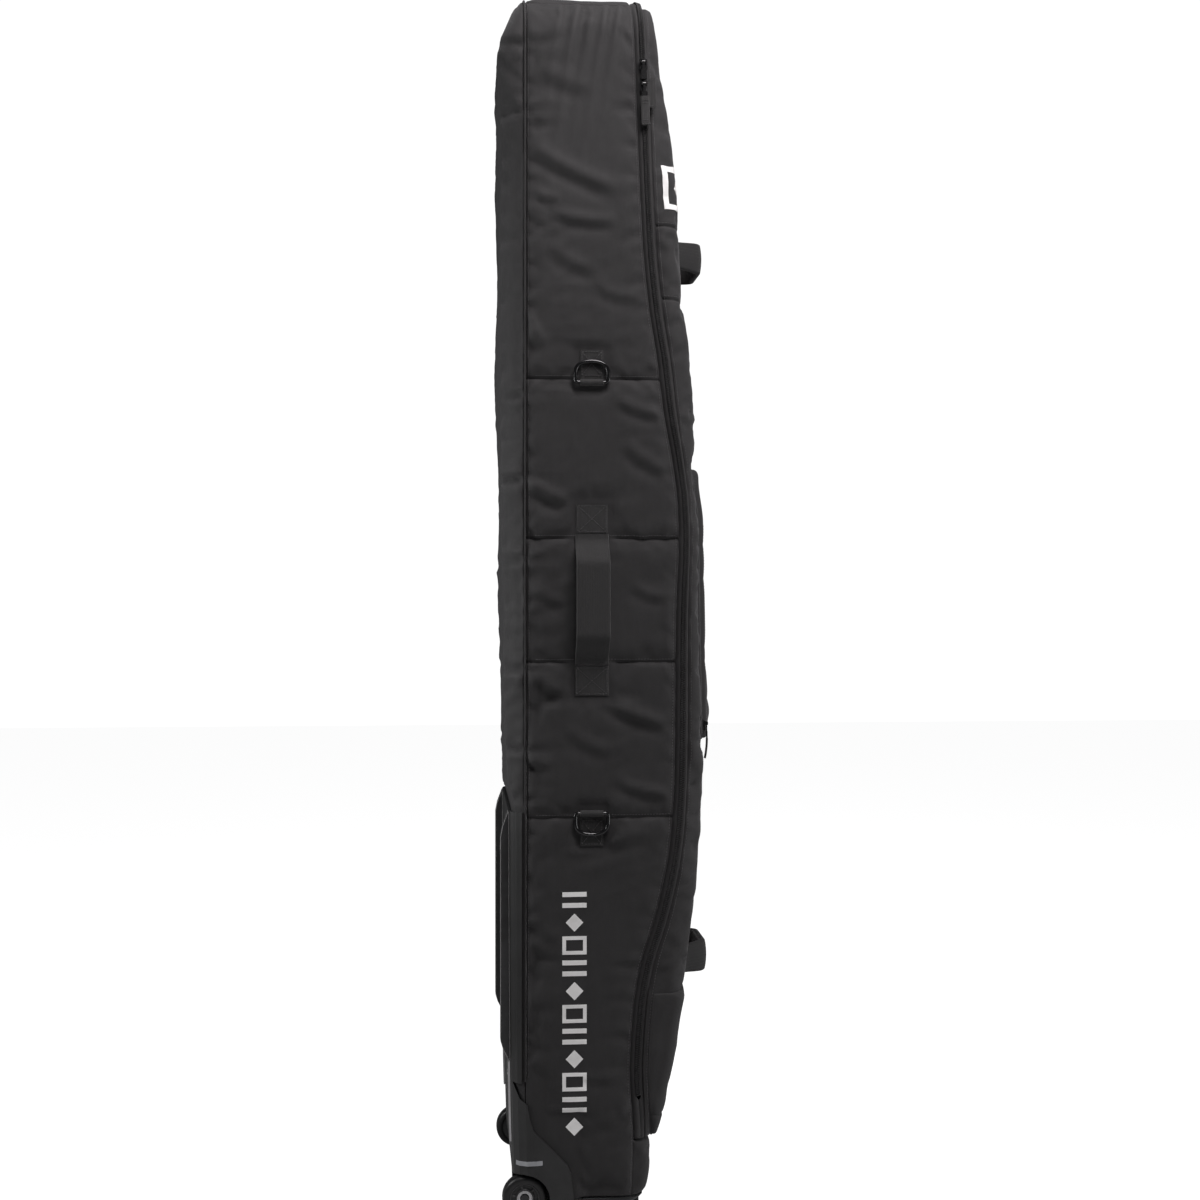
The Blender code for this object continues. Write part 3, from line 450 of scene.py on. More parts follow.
# ---- Materials ---------------------------------------------------------------------------------
class Paint:
    """A procedural material and short names for making its nodes."""

    def __init__(self, name, rough=0.5, metallic=0.0, **sockets):
        self.mat = bpy.data.materials.new(name)
        self.mat.use_nodes = True
        self.tree = self.mat.node_tree
        self.shader = self.tree.nodes["Principled BSDF"]
        self.put("Roughness", rough)
        self.put("Metallic", metallic)
        for key, value in sockets.items():
            self.put(key.replace("_", " "), value)

    def put(self, socket, value):
        if isinstance(value, bpy.types.NodeSocket):
            self.tree.links.new(value, self.shader.inputs[socket])
        elif isinstance(value, tuple):
            self.shader.inputs[socket].default_value = (*value, 1.0)
        else:
            self.shader.inputs[socket].default_value = value

    def node(self, kind, out=0, inputs=(), **settings):
        made = self.tree.nodes.new(kind)
        for key, value in settings.items():
            setattr(made, key, value)
        for key, value in (inputs.items() if isinstance(inputs, dict) else enumerate(inputs)):
            if isinstance(value, bpy.types.NodeSocket):
                self.tree.links.new(value, made.inputs[key])
            elif value is not None:
                made.inputs[key].default_value = value
        return made.outputs[out]

    def math(self, operation, a, b=0.0, c=None):
        return self.node("ShaderNodeMath", inputs=[a, b] + ([c] if c is not None else []),
                         operation=operation)

    def place(self):
        """The piece's own coordinates, as one vector and as x, y and z."""
        coord = self.node("ShaderNodeTexCoord", out="Object")
        parts = self.tree.nodes.new("ShaderNodeSeparateXYZ")
        self.tree.links.new(coord, parts.inputs[0])
        x, y, z = parts.outputs
        return coord, x, y, z

    def noise(self, scale, detail, rough, coord, stretch=None):
        if stretch:
            coord = self.node("ShaderNodeVectorMath", inputs=[coord, stretch],
                              operation="MULTIPLY")
        return self.node("ShaderNodeTexNoise", inputs={"Vector": coord, "Scale": scale,
                                                       "Detail": detail, "Roughness": rough})

    def ramp(self, fac, low, high, at=(0.3, 0.7)):
        node = self.tree.nodes.new("ShaderNodeValToRGB")
        for stop, position, value in zip(node.color_ramp.elements, at, (low, high)):
            stop.position = position
            stop.color = (*(value if isinstance(value, tuple) else (value,) * 3), 1.0)
        self.tree.links.new(fac, node.inputs[0])
        return node.outputs[0]

    def mix(self, fac, a, b):
        node = self.tree.nodes.new("ShaderNodeMix")
        node.data_type = "RGBA"
        for socket, value in ((node.inputs[0], fac), (node.inputs[6], a), (node.inputs[7], b)):
            if isinstance(value, bpy.types.NodeSocket):
                self.tree.links.new(value, socket)
            elif isinstance(value, tuple):
                socket.default_value = (*value, 1.0)
            else:
                socket.default_value = value
        return node.outputs[2]

    def bump(self, height, strength, distance, below=None):
        node = self.tree.nodes.new("ShaderNodeBump")
        node.inputs["Strength"].default_value = strength
        node.inputs["Distance"].default_value = distance
        self.tree.links.new(height, node.inputs["Height"])
        if below is not None:
            self.tree.links.new(below, node.inputs["Normal"])
        return node.outputs[0]


def times(colour, k):
    return tuple(min(1.0, c * k) for c in colour)


def weave(p, u, v, pitch):
    """Height of a plain weave of two sets of threads."""
    k = 2 * math.pi / pitch
    a = p.math("SINE", p.math("MULTIPLY", u, k))
    b = p.math("SINE", p.math("MULTIPLY", v, k))
    return p.math("MULTIPLY_ADD", p.math("MULTIPLY", a, b), 0.5, 0.5)


def cloth_paint(name, colour, pitch=0.0011, rough=(0.66, 0.86), sheen=0.22, depth=0.00022,
                wear=1.7, mottle=0.22):
    p = Paint(name, Sheen_Weight=sheen, Sheen_Roughness=0.45, Specular_IOR_Level=0.35)
    p.put("Sheen Tint", (0.78, 0.78, 0.80))
    coord, x, y, z = p.place()
    u = p.math("ADD", x, y)
    h = weave(p, u, z, pitch)
    slub = p.noise(90.0, 4.0, 0.6, coord, (1.0, 1.0, 0.35))
    fuzz = p.noise(1400.0, 2.0, 0.6, coord)
    broad = p.noise(5.0, 4.0, 0.6, coord)
    tone = p.ramp(h, times(colour, 0.72), times(colour, 1.28), (0.15, 0.85))
    tone = p.mix(mottle, tone, p.ramp(slub, times(colour, 0.6), times(colour, 1.5)))
    tone = p.mix(0.25, tone, p.ramp(broad, times(colour, 0.8), times(colour, 1.35), (0.35, 0.68)))
    edge = p.node("ShaderNodeNewGeometry", out="Pointiness")
    worn = p.ramp(edge, 0.0, 1.0, (0.515, 0.60))
    tone = p.mix(worn, tone, times(colour, wear))
    p.put("Base Color", tone)
    p.put("Roughness", p.ramp(fuzz, rough[0], rough[1]))
    soft = p.bump(broad, 0.25, 0.0012)
    fine = p.bump(fuzz, 0.30, depth, soft)
    p.put("Normal", p.bump(h, 0.55, depth, fine))
    return p.mat


def webbing_paint(name, colour, along, across, sheen=0.25):
    """Woven strap: ribs across it and columns of threads along it."""
    p = Paint(name, Sheen_Weight=sheen, Sheen_Roughness=0.4, Specular_IOR_Level=0.4)
    coord, *axes = p.place()
    named = dict(zip("xyz", axes))
    a, c = named[along], named[across]
    # Each column's ribs lean the other way, as in a herringbone.
    fold = p.math("PINGPONG", c, 0.0024)
    rib = p.math("SINE", p.math("MULTIPLY", p.math("ADD", a, fold), 2 * math.pi / 0.0015))
    column = p.math("SINE", p.math("MULTIPLY", c, 2 * math.pi / 0.0024))
    h = p.math("MULTIPLY_ADD", rib, 0.34, p.math("MULTIPLY_ADD", column, 0.16, 0.5))
    fuzz = p.noise(900.0, 3.0, 0.6, coord)
    tone = p.ramp(h, times(colour, 0.6), times(colour, 1.5), (0.2, 0.8))
    tone = p.mix(0.3, tone, p.ramp(fuzz, times(colour, 0.6), times(colour, 1.6)))
    p.put("Base Color", tone)
    p.put("Roughness", p.ramp(fuzz, 0.6, 0.82))
    p.put("Normal", p.bump(h, 0.7, 0.0004, p.bump(fuzz, 0.3, 0.0002)))
    return p.mat


def plastic_paint(name, colour, rough=(0.34, 0.5), grain=0.00012, grain_scale=1100.0, scuff=1.9,
                  ribs=None, bright_edge=None, **sockets):
    """Moulded plastic with a fine grain, rubbed pale along its edges.

    The edge argument is (width, brightness) of a pale line painted along the corners as a
    highlight.
    """
    p = Paint(name, **sockets)
    coord, x, _, _ = p.place()
    fine = p.noise(grain_scale, 3.0, 0.6, coord)
    broad = p.noise(22.0, 5.0, 0.65, coord)
    scratch = p.noise(60.0, 4.0, 0.7, coord, (1.0, 1.0, 0.08))
    edge = p.node("ShaderNodeNewGeometry", out="Pointiness")
    rub = p.math("MULTIPLY", p.ramp(edge, 0.0, 1.0, (0.51, 0.58)), p.ramp(broad, 0.1, 1.0))
    tone = p.ramp(broad, times(colour, 0.85), times(colour, 1.2))
    tone = p.mix(rub, tone, times(colour, scuff))
    if bright_edge:
        # Painted highlight: a pale line along every corner, where the rounded normal turns from the
        # plain one, standing in for the light the edge catches.
        width, light = bright_edge
        rounded = p.node("ShaderNodeBevel", inputs={"Radius": width}, samples=6)
        plain = p.node("ShaderNodeNewGeometry", out="Normal")
        same = p.node("ShaderNodeVectorMath", out="Value", inputs=[rounded, plain],
                      operation="DOT_PRODUCT")
        tone = p.mix(p.ramp(same, 1.0, 0.0, (0.955, 0.995)), tone, (light,) * 3)
    p.put("Base Color", tone)
    p.put("Roughness", p.mix(0.35, p.ramp(broad, rough[0], rough[1]),
                             p.ramp(scratch, rough[0], rough[1] + 0.18)))
    normal = p.bump(fine, 0.35, grain)
    if ribs:
        wave = p.math("SINE", p.math("MULTIPLY", x, 2 * math.pi / ribs))
        normal = p.bump(p.math("POWER", p.math("ABSOLUTE", wave), 6.0), 0.6, 0.0012, normal)
    p.put("Normal", normal)
    return p.mat


def metal_paint(name, colour, rough, metallic=1.0, stretch=(1.0, 1.0, 1.0), coat=0.0):
    p = Paint(name, metallic=metallic, Coat_Weight=coat, Coat_Roughness=0.12)
    coord = p.place()[0]
    brushed = p.noise(420.0, 3.0, 0.6, coord, stretch)
    spots = p.noise(60.0, 4.0, 0.65, coord)
    tone = p.ramp(spots, times(colour, 0.86), times(colour, 1.12))
    p.put("Base Color", tone)
    p.put("Roughness", p.mix(0.5, p.ramp(brushed, rough * 0.8, rough * 1.25),
                             p.ramp(spots, rough * 0.85, rough * 1.3)))
    p.put("Normal", p.bump(brushed, 0.12, 0.0001))
    return p.mat


CLOTH = cloth_paint("pack_cloth_weave", (0.0262, 0.0255, 0.0262), sheen=0.17)
CLOTH_DARK = cloth_paint("pack_cloth_dark", (0.020, 0.0196, 0.0203), mottle=0.3)
LINING_CLOTH = cloth_paint("lining_cloth", (0.055, 0.057, 0.062), pitch=0.0007, rough=(0.5, 0.7),
                           sheen=0.15, depth=0.0001)
TAPE_CLOTH = cloth_paint("zip_tape_cloth", (0.0215, 0.0210, 0.0215), pitch=0.0009, sheen=0.15)
WEB_UP = webbing_paint("webbing_upright", (0.0235, 0.0232, 0.0235), "z", "y", sheen=0.2)
WEB_ALONG = webbing_paint("webbing_across", (0.0190, 0.0186, 0.0190), "x", "z", sheen=0.15)
THREAD = cloth_paint("thread", (0.046, 0.045, 0.046), pitch=0.0006, sheen=0.25)
COIL = plastic_paint("zip_coil_plastic", (0.0185, 0.0183, 0.0187), rough=(0.5, 0.62), grain=0.00003,
                     Specular_IOR_Level=0.3)
MOULDED = plastic_paint("moulded_plastic", (0.0155, 0.0158, 0.0160), rough=(0.42, 0.56))
TRAY = plastic_paint("tray_plastic", (0.0125, 0.0128, 0.0130), rough=(0.42, 0.58), ribs=0.036)
# The pale line along the rails' corners is a painted highlight.
RAIL = plastic_paint("rail_plastic", (0.017, 0.0175, 0.018), rough=(0.36, 0.50), scuff=2.4,
                     bright_edge=(0.0014, 0.55))
TYRE = plastic_paint("wheel_urethane", (0.0085, 0.0085, 0.0090), rough=(0.30, 0.44),
                     grain_scale=500.0)
HUB = plastic_paint("hub_plastic", (0.026, 0.0265, 0.0275), rough=(0.35, 0.5))
BOARD = plastic_paint("stiffener_sheet", (0.05, 0.05, 0.052), rough=(0.4, 0.55))
BLACK_METAL = metal_paint("black_coated_metal", (0.012, 0.012, 0.0125), 0.17, 0.25, coat=0.5)
RING_METAL = metal_paint("ring_metal", (0.022, 0.022, 0.0235), 0.20, 0.70, coat=0.6)
STEEL = metal_paint("plain_steel", (0.55, 0.55, 0.56), 0.28)
LIGHT_METAL = metal_paint("satin_light_metal", (0.62, 0.62, 0.63), 0.34, stretch=(1.0, 1.0, 0.06))
PRINT = plastic_paint("print_ink", (0.95, 0.95, 0.935), rough=(0.5, 0.66), grain=0.0001, scuff=1.02)
GREY_PRINT = plastic_paint("grey_ink", (0.36, 0.37, 0.39), rough=(0.36, 0.48), scuff=1.1)


# ---- Padded panels -----------------------------------------------------------------------------
class Panel:
    """A padded panel: a sheet of cloth over foam, held along its seams.

    `path(z)` gives the outline of the surface at a height, from one border to the other. The
    cloth stands `lift(points, along, up)` off that surface, and is pressed flat in each of the
    `held` boxes.
    """

    def __init__(self, name, path, z0, z1, body, mat, seams=(), lift=None, held=(),
                 fill=0.55, border=0.0030, growth=0.03, cap=0.007, proud=0.0035, top_rows=None,
                 pressure=4.0, puff=0.0026, seed=1, spread=0.0055):
        self.__dict__.update(locals())

    def rows(self, fractions, heights):
        return np.stack([at_fractions(self.path(float(z)), fractions) for z in heights])

    def setup(self):
        mid = self.path((self.z0 + self.z1) / 2)
        self.width = float(np.sum(np.linalg.norm(np.diff(mid, axis=0), axis=1)))
        self.length = self.z1 - self.z0
        self.cn = max(8, int(self.width / 0.0085) + 1)
        self.rn = max(5, int(self.length / 0.0085) + 1)
        self.cf = np.linspace(0, 1, self.cn)
        self.cz = np.linspace(self.z0, self.z1, self.rn)
        if self.top_rows is not None:
            self.cz = self.top_rows(np.linspace(0, 1, self.rn))
        self.coarse = self.rows(self.cf, self.cz)
        self.cnorm = normals_of(self.coarse, CENTRE)
        off = self.height(self.coarse, self.cf, self.cz, False)
        self.start = self.coarse + self.cnorm * off[..., None]

    def height(self, pts, f, z, fine):
        """How far the cloth stands off the solid's face at each point of a grid."""
        s = np.broadcast_to(f[None, :], pts.shape[:2]) * self.width
        zz = np.broadcast_to(z[:, None], pts.shape[:2])
        side = np.minimum(s, self.width - s)
        ends = np.minimum(zz - self.z0, self.z1 - zz)
        edge = np.minimum(side, ends)
        h = -self.puff * np.exp(-np.maximum(edge, 0) / 0.030)
        for zs, depth in self.seams:
            d = np.abs(zz - zs)
            h -= self.puff * 0.55 * np.exp(-((d / 0.016) ** 2))
            if fine:
                h -= depth * np.exp(-((d / 0.0018) ** 2))
                h += 0.0005 * np.exp(-(((d - 0.0050) / 0.0022) ** 2))
        if fine:
            near = np.clip(1 - edge / ROLL, 0, 1)
            h -= self.border * (1 - np.sqrt(np.clip(1 - near * near, 0, 1)))
        return h

    def folds(self, pts, f, z):
        """Folds and creases, laid over the settled cloth."""
        if self.lift is None:
            return 0.0
        s = np.broadcast_to(f[None, :], pts.shape[:2]) * self.width
        return self.lift(pts, s, np.broadcast_to(z[:, None], pts.shape[:2]))

    def pins(self):
        """1 where the cloth is sewn down, less nearby, 0 where it is free."""
        w = np.zeros((self.rn, self.cn))
        w[0, :] = w[-1, :] = 1.0
        w[:, 0] = w[:, -1] = 1.0
        for zs, _ in self.seams:
            w[int(np.argmin(np.abs(self.cz - zs))), :] = 1.0
        for box in self.held:
            inside = self.in_box(self.coarse, box)
            w = np.maximum(w, inside)
        return w

    @staticmethod
    def in_box(pts, box):
        """1 inside a box of (lo, hi) per axis, falling to 0 over 12 mm outside it."""
        out = np.zeros(pts.shape[:2])
        for axis, (lo, hi) in box.items():
            v = pts[..., "xyz".index(axis)]
            out = np.maximum(out, np.maximum(lo - v, v - hi))
        return 1 - smoothstep(0.0, 0.012, np.maximum(out, 0.0))

    def cloth_object(self):
        self.setup()
        mesh = bpy.data.meshes.new(self.name + "_sim")
        mesh.from_pydata([tuple(v) for v in self.start.reshape(-1, 3)], [],
                         grid_faces(self.rn, self.cn))
        bm = bmesh.new()
        bm.from_mesh(mesh)
        bm.faces.ensure_lookup_table()
        k = (self.rn // 2) * (self.cn - 1) + self.cn // 2
        n = np.array(bm.faces[k].normal)
        if n @ self.cnorm[self.rn // 2, self.cn // 2] < 0:
            bmesh.ops.reverse_faces(bm, faces=bm.faces)
        bm.to_mesh(mesh)
        bm.free()
        obj = add_object(self.name + "_sim", mesh)
        group = obj.vertex_groups.new(name="sewn")
        for i, w in enumerate(self.pins().ravel()):
            if w > 0.01:
                group.add([i], float(w), "REPLACE")
        cloth = obj.modifiers.new("Cloth", "CLOTH")
        s = cloth.settings
        s.quality, s.mass = 5, 0.12
        s.tension_stiffness = s.compression_stiffness = 18.0
        s.shear_stiffness, s.bending_stiffness = 6.0, 0.9
        s.air_damping = 4.0
        s.vertex_group_mass = "sewn"
        s.pin_stiffness = 1.0
        s.shrink_min = -self.growth
        s.use_pressure = True
        s.uniform_pressure_force = self.pressure
        s.effector_weights.gravity = 0.0
        cloth.collision_settings.use_collision = False
        cloth.collision_settings.use_self_collision = False
        self.sim = obj

    def read(self):
        """The settled cloth's movement at each coarse point."""
        dg = bpy.context.evaluated_depsgraph_get()
        ev = self.sim.evaluated_get(dg)
        co = np.zeros(len(ev.data.vertices) * 3)
        ev.data.vertices.foreach_get("co", co)
        moved = co.reshape(self.rn, self.cn, 3) - self.start
        size = np.linalg.norm(moved, axis=2, keepdims=True)
        self.moved = moved * np.minimum(1.0, self.cap / np.maximum(size, 1e-9))

    def build(self):
        if not hasattr(self, "moved"):
            self.moved = np.zeros_like(self.start)
        up = spaced(self.z0, self.z1, self.spread, [z for z, _ in self.seams])
        if self.top_rows is not None:
            up = self.top_rows(np.linspace(0, 1, int(self.length / self.spread) + 20))
        f = spaced(0.0, self.width, self.spread) / self.width
        pts = self.rows(f, up)
        nrm = normals_of(pts, CENTRE)
        h = self.height(pts, f, up, True)
        # The coarse rows' own places, so that the cloth's movement lands where it was made.
        at = np.interp(up, self.cz, np.linspace(0, 1, self.rn))
        moved = cubic_resample(cubic_resample(self.moved, at, 0), f, 1)
        out = np.sum(moved * nrm, axis=2)
        slide = moved - out[..., None] * nrm
        grain = (0.0005 * noise_field(pts, 0.030, self.seed)
                 + 0.0014 * noise_field(pts, 0.11, self.seed + 9, 2) + creases(pts, self.seed + 4))
        edge = np.minimum(np.minimum(f, 1 - f)[None, :] * self.width,
                          np.minimum(up - self.z0, self.z1 - up)[:, None])
        total = h + out
        total = np.where(total > 0, self.proud * (1 - np.exp(-total / self.proud)), total)
        total = total + (grain + self.folds(pts, f, up)) * smoothstep(0, 0.012, edge)
        for box in self.held:
            inside = self.in_box(pts, box)
            total = total * (1 - inside) - 0.0009 * inside
            total = np.where(inside > 0.5, np.minimum(total, -0.0006), total)
        total = np.maximum(total, -PAD * 0.78)
        self.outer = pts + nrm * total[..., None] + slide * smoothstep(0, 0.02, edge)[..., None]
        inner = pts - nrm * PAD
        verts, faces = shell_mesh(self.outer, inner)
        obj = make(self.name + "_padded", verts, faces, self.mat, self.body, self.name,
                   slot="pack_cloth")
        self.obj, self.nrm, self.up, self.f = obj, nrm, up, f


def relax(panels, frames=20):
    """Let every panel's cloth settle under the push of its foam."""
    for p in panels:
        p.cloth_object()
    scene = bpy.context.scene
    for frame_number in range(1, frames + 1):
        scene.frame_set(frame_number)
    for p in panels:
        p.read()
    for p in panels:
        mesh = p.sim.data
        bpy.data.objects.remove(p.sim)
        bpy.data.meshes.remove(mesh)
    scene.frame_set(1)


def ridge(y, z, a, b, tall, wide):
    """A soft fold along the line from a to b, each a (y, z) place in the side view."""
    ay, az, by, bz = *a, *b
    dy, dz = by - ay, bz - az
    length = math.hypot(dy, dz)
    t = ((y - ay) * dy + (z - az) * dz) / length**2
    off = ((y - ay) * dz - (z - az) * dy) / length
    fade = smoothstep(-0.12, 0.22, t) * smoothstep(1.12, 0.78, t)
    bow = off + 0.004 * np.sin(math.pi * np.clip(t, 0, 1))
    hollow = 0.7 * np.exp(-(((bow + 1.7 * wide) / wide) ** 2))
    return tall * fade * (np.exp(-((bow / wide) ** 2)) - hollow)


# (from (y, z), to (y, z), height, width) of the folds in the side panels
SIDE_FOLDS = [
    ((0.114, 1.528), (-0.006, 1.472), 0.0046, 0.0100),
    ((0.108, 1.465), (0.075, 1.457), 0.0034, 0.0065),
    ((0.084, 1.436), (-0.002, 1.426), 0.0042, 0.0080),
    ((0.121, 1.291), (0.090, 1.244), 0.0042, 0.0085),
    ((-0.008, 1.170), (-0.071, 1.150), 0.0036, 0.0075),
    ((0.121, 1.058), (0.058, 1.024), 0.0044, 0.0085),
    ((0.096, 0.773), (0.058, 0.746), 0.0042, 0.0080),
    ((0.008, 0.742), (-0.080, 0.708), 0.0052, 0.0090),
    ((0.121, 0.661), (0.086, 0.653), 0.0036, 0.0065),
    ((-0.008, 0.628), (-0.082, 0.609), 0.0042, 0.0075),
    ((0.067, 0.528), (-0.056, 0.560), 0.0042, 0.0095),
    ((0.026, 0.138), (-0.023, 0.161), 0.0028, 0.0075),
    ((0.043, 0.208), (-0.018, 0.207), 0.0024, 0.0065),
    ((0.110, 0.905), (0.066, 0.880), 0.0028, 0.0075),
    ((-0.030, 0.905), (-0.078, 0.890), 0.0028, 0.0075),
    ((0.110, 0.430), (0.074, 0.405), 0.0022, 0.0080),
    ((0.100, 1.640), (0.030, 1.615), 0.0028, 0.0110),
    ((0.020, 1.330), (-0.040, 1.318), 0.0026, 0.0085),
    ((0.085, 1.385), (0.020, 1.352), 0.0026, 0.0090),
    ((-0.020, 1.108), (-0.078, 1.070), 0.0034, 0.0090),
    ((0.060, 0.700), (0.000, 0.668), 0.0030, 0.0090),
]
# heights at which the cloth is pinched along the back seam, and how deeply
PINCHES = [(1.677, 0.0034), (1.580, 0.0030), (1.400, 0.0014), (1.175, 0.0034), (1.057, 0.0042),
           (0.941, 0.0044), (0.860, 0.0020), (0.785, 0.0044), (0.671, 0.0046), (0.600, 0.0020)]


def pinch(z, s, reach):
    """How far the cloth stands out at a distance s from the back seam, beside its pinches."""
    out = np.zeros_like(z)
    for z0, depth in PINCHES:
        d = z - z0
        out += depth * np.exp(-s / reach) * (0.8 * np.exp(-(((np.abs(d) - 0.012) / 0.009) ** 2))
                                             - 1.3 * np.exp(-((d / 0.0050) ** 2)))
    return out


def side_lift(pts, s, z):
    y = pts[..., 1]
    h = np.zeros_like(z)
    for a, b, tall, wide in SIDE_FOLDS:
        h += ridge(y, z, a, b, tall, wide)
    h += pinch(z, SEAM - y, 0.020)
    # Gathers that run down from the crown.
    for y0, reach, tall in ((0.068, 0.060, 0.0046), (0.046, 0.095, 0.0056), (0.024, 0.060, 0.0048),
                            (0.006, 0.085, 0.0054), (-0.014, 0.055, 0.0046)):
        lean = y0 + 0.16 * (SHOULDER - z)
        off = (y - lean) / 0.0060
        fold = np.exp(-(off**2)) - 0.8 * np.exp(-((off + 1.7) ** 2))
        h += tall * fold * np.exp(-(SHOULDER - z) / reach)
    return h


SIDE_SEAMS = [(1.1985, 0.0018), (0.9712, 0.0022), (0.7948, 0.0022), (0.5732, 0.0018)]
WELT_GAP = 0.0012       # from the back seam to the edge of the panel on either side of it
OVER_TAPE = 0.0022      # how far the side panel reaches over the zip tape
LID_OVER = 0.0045       # and the lid, from its own side
LOW = 0.0302            # where the panels end and the round base begins
HANDLE_Y, RING_Y, WEB = SEAM - 0.0953, SEAM - 0.0948, 0.048


def side_path(sign):
    def path(z):
        ys = np.linspace(zip_y(z) - OVER_TAPE, SEAM - WELT_GAP, 26)
        return np.array([(MID_X + sign * body_half(y, z), y, z) for y in ys])
    return path


def wrap3(z, y_cut, front, n=90, grow=0.0):
    path = wrap_path(z, y_cut, front, n, grow)
    return np.column_stack([path, np.full(len(path), z)])


def lid_path(z):
    return wrap3(z, zip_y(z) - ZIP_WIDTH + LID_OVER, True)


def back_path(z):
    return wrap3(z, SEAM + WELT_GAP, False)


def apron_path(z):
    return wrap3(z, zip_y(z), True)


def back_lift(pts, s, z):
    around = np.minimum(s, (WIDTH + 0.02) - s)
    h = 1.5 * pinch(z, np.maximum(around, 0), 0.030)
    h += 0.0016 * np.sin(z * 21.0 + pts[..., 0] * 9.0) * smoothstep(0.62, 0.75, z)
    # The contents push the back out, most of all just under the top.
    full = smoothstep(0.0, 0.05, around)
    h += full * 0.0030 * smoothstep(1.02, 1.15, z) * smoothstep(1.72, 1.66, z)
    return h + full * 0.0062 * np.exp(-(((z - 1.672) / 0.036) ** 2))


def lid_lift(pts, s, z):
    x, y = pts[..., 0], pts[..., 1]
    from_left, from_right = np.abs(x - LEFT), np.abs(x - RIGHT)
    corner = np.minimum(from_left, from_right)
    h = np.zeros_like(z)
    for z0, tall, wide, reach in ((1.140, -0.0050, 0.006, 0.05), (1.152, 0.0030, 0.007, 0.05),
                                  (1.250, 0.0020, 0.010, 0.08), (0.622, -0.0030, 0.008, 0.06),
                                  (0.560, 0.0024, 0.012, 0.07), (0.455, -0.0026, 0.008, 0.05),
                                  (1.540, 0.0022, 0.012, 0.06), (1.600, -0.0020, 0.010, 0.05)):
        lean = z0 + 0.25 * (y + 0.10)
        h += tall * np.exp(-(((z - lean) / wide) ** 2)) * np.exp(-corner / reach)
    return h


PANELS = []
for label, sign in (("left", -1), ("right", 1)):
    hold = []
    if sign < 0:
        hold = [{"y": (HANDLE_Y - 0.026, HANDLE_Y + 0.026), "z": (0.972, 1.024)},
                {"y": (HANDLE_Y - 0.027, HANDLE_Y + 0.027), "z": (0.744, 0.797)},
                {"y": (RING_Y - 0.018, RING_Y + 0.018), "z": (1.185, 1.241)},
                {"y": (RING_Y - 0.018, RING_Y + 0.018), "z": (0.533, 0.589)}]
    hold.append({"y": (0.052, 0.2), "z": (0.0, 0.150)})
    hold.append({"y": (0.098, 0.2), "z": (0.0, 0.200)})
    PANELS.append(Panel("side_panel_" + label, side_path(sign), LOW, SHOULDER, "bag_body",
                        CLOTH, seams=SIDE_SEAMS, lift=side_lift, held=hold, fill=0.5,
                        seed=3 + sign))
BACK_TOP = 1.7578


def back_rows(t):
    """Heights of the back panel's rows, closer together where it turns over the top."""
    split = 0.955
    turn = np.sin(np.clip((t - split) / (1 - split), 0, 1) * math.pi / 2)
    return np.where(t < split, LOW + (BEND_Z - LOW) * t / split,
                    BEND_Z + (BACK_TOP - BEND_Z) * turn)


PANELS.append(Panel("back_panel", back_path, LOW, BACK_TOP, "bag_body", CLOTH, lift=back_lift,
                    held=[{"z": (0.0, 0.588), "y": (SEAM + 0.0025, 0.2)}], seams=[],
                    fill=0.55, seed=11, top_rows=back_rows, growth=0.02))
LID_SEAMS = [(1.4195, 0.0020), (1.3150, 0.0020)]
# The lid lies flat under its two pockets and its two loops.
lid_held = [{"x": (MID_X - 0.134, MID_X + 0.134), "z": (0.672, 1.086), "y": (-1, -0.09)},
            {"z": (0.10, 0.322), "y": (-1, -0.045)}]
lid_held += [{"x": (MID_X - 0.078, MID_X + 0.078), "z": span, "y": (-1, -0.06)}
             for span in ((0.318, 0.374), (1.377, 1.433))]
PANELS.append(Panel("lid_panel", lid_path, HINGE_Z + 0.0024, 1.744, "lid", CLOTH, seams=LID_SEAMS,
                    lift=lid_lift, fill=0.55, seed=17, growth=0.025, held=lid_held))


APRON_TOP = 0.111


def apron_lift(pts, s, z):
    share = np.clip((z - LOW) / (APRON_TOP - LOW), 0, 1)
    return 0.0032 * smoothstep(0.0, 0.03, s) * np.sin(math.pi * share)


PANELS.append(Panel("front_apron", apron_path, LOW, APRON_TOP, "bag_body", CLOTH, fill=0.5,
                    lift=apron_lift, seed=23, growth=0.02))
relax(PANELS)
for one in PANELS:
    one.build()


# ---- Ends of the body --------------------------------------------------------------------------
def bore(side_sign, radius, depth):
    """A cutter along a wheel's axis, from outside the bag to `depth` in from the side panel."""
    outer = MID_X + side_sign * (WIDTH / 2 + 0.05)
    inner = MID_X + side_sign * (WIDTH / 2 - depth)
    bm = bmesh.new()
    rings = []
    for x in (outer, inner):
        rings.append([bm.verts.new((x, SEAM + radius * math.cos(2 * math.pi * k / 48),
                                    AXLE_Z + radius * math.sin(2 * math.pi * k / 48)))
                      for k in range(48)])
    for k in range(48):
        bm.faces.new((rings[0][k], rings[0][(k + 1) % 48], rings[1][(k + 1) % 48], rings[1][k]))
    bm.faces.new(rings[0])
    bm.faces.new(rings[1])
    bmesh.ops.recalc_face_normals(bm, faces=bm.faces)
    return add_object("bore", mesh_of(bm, "bore"))


def apply_modifiers(obj):
    dg = bpy.context.evaluated_depsgraph_get()
    mesh = bpy.data.meshes.new_from_object(obj.evaluated_get(dg))
    old = obj.data
    obj.modifiers.clear()
    obj.data = mesh
    bpy.data.meshes.remove(old)


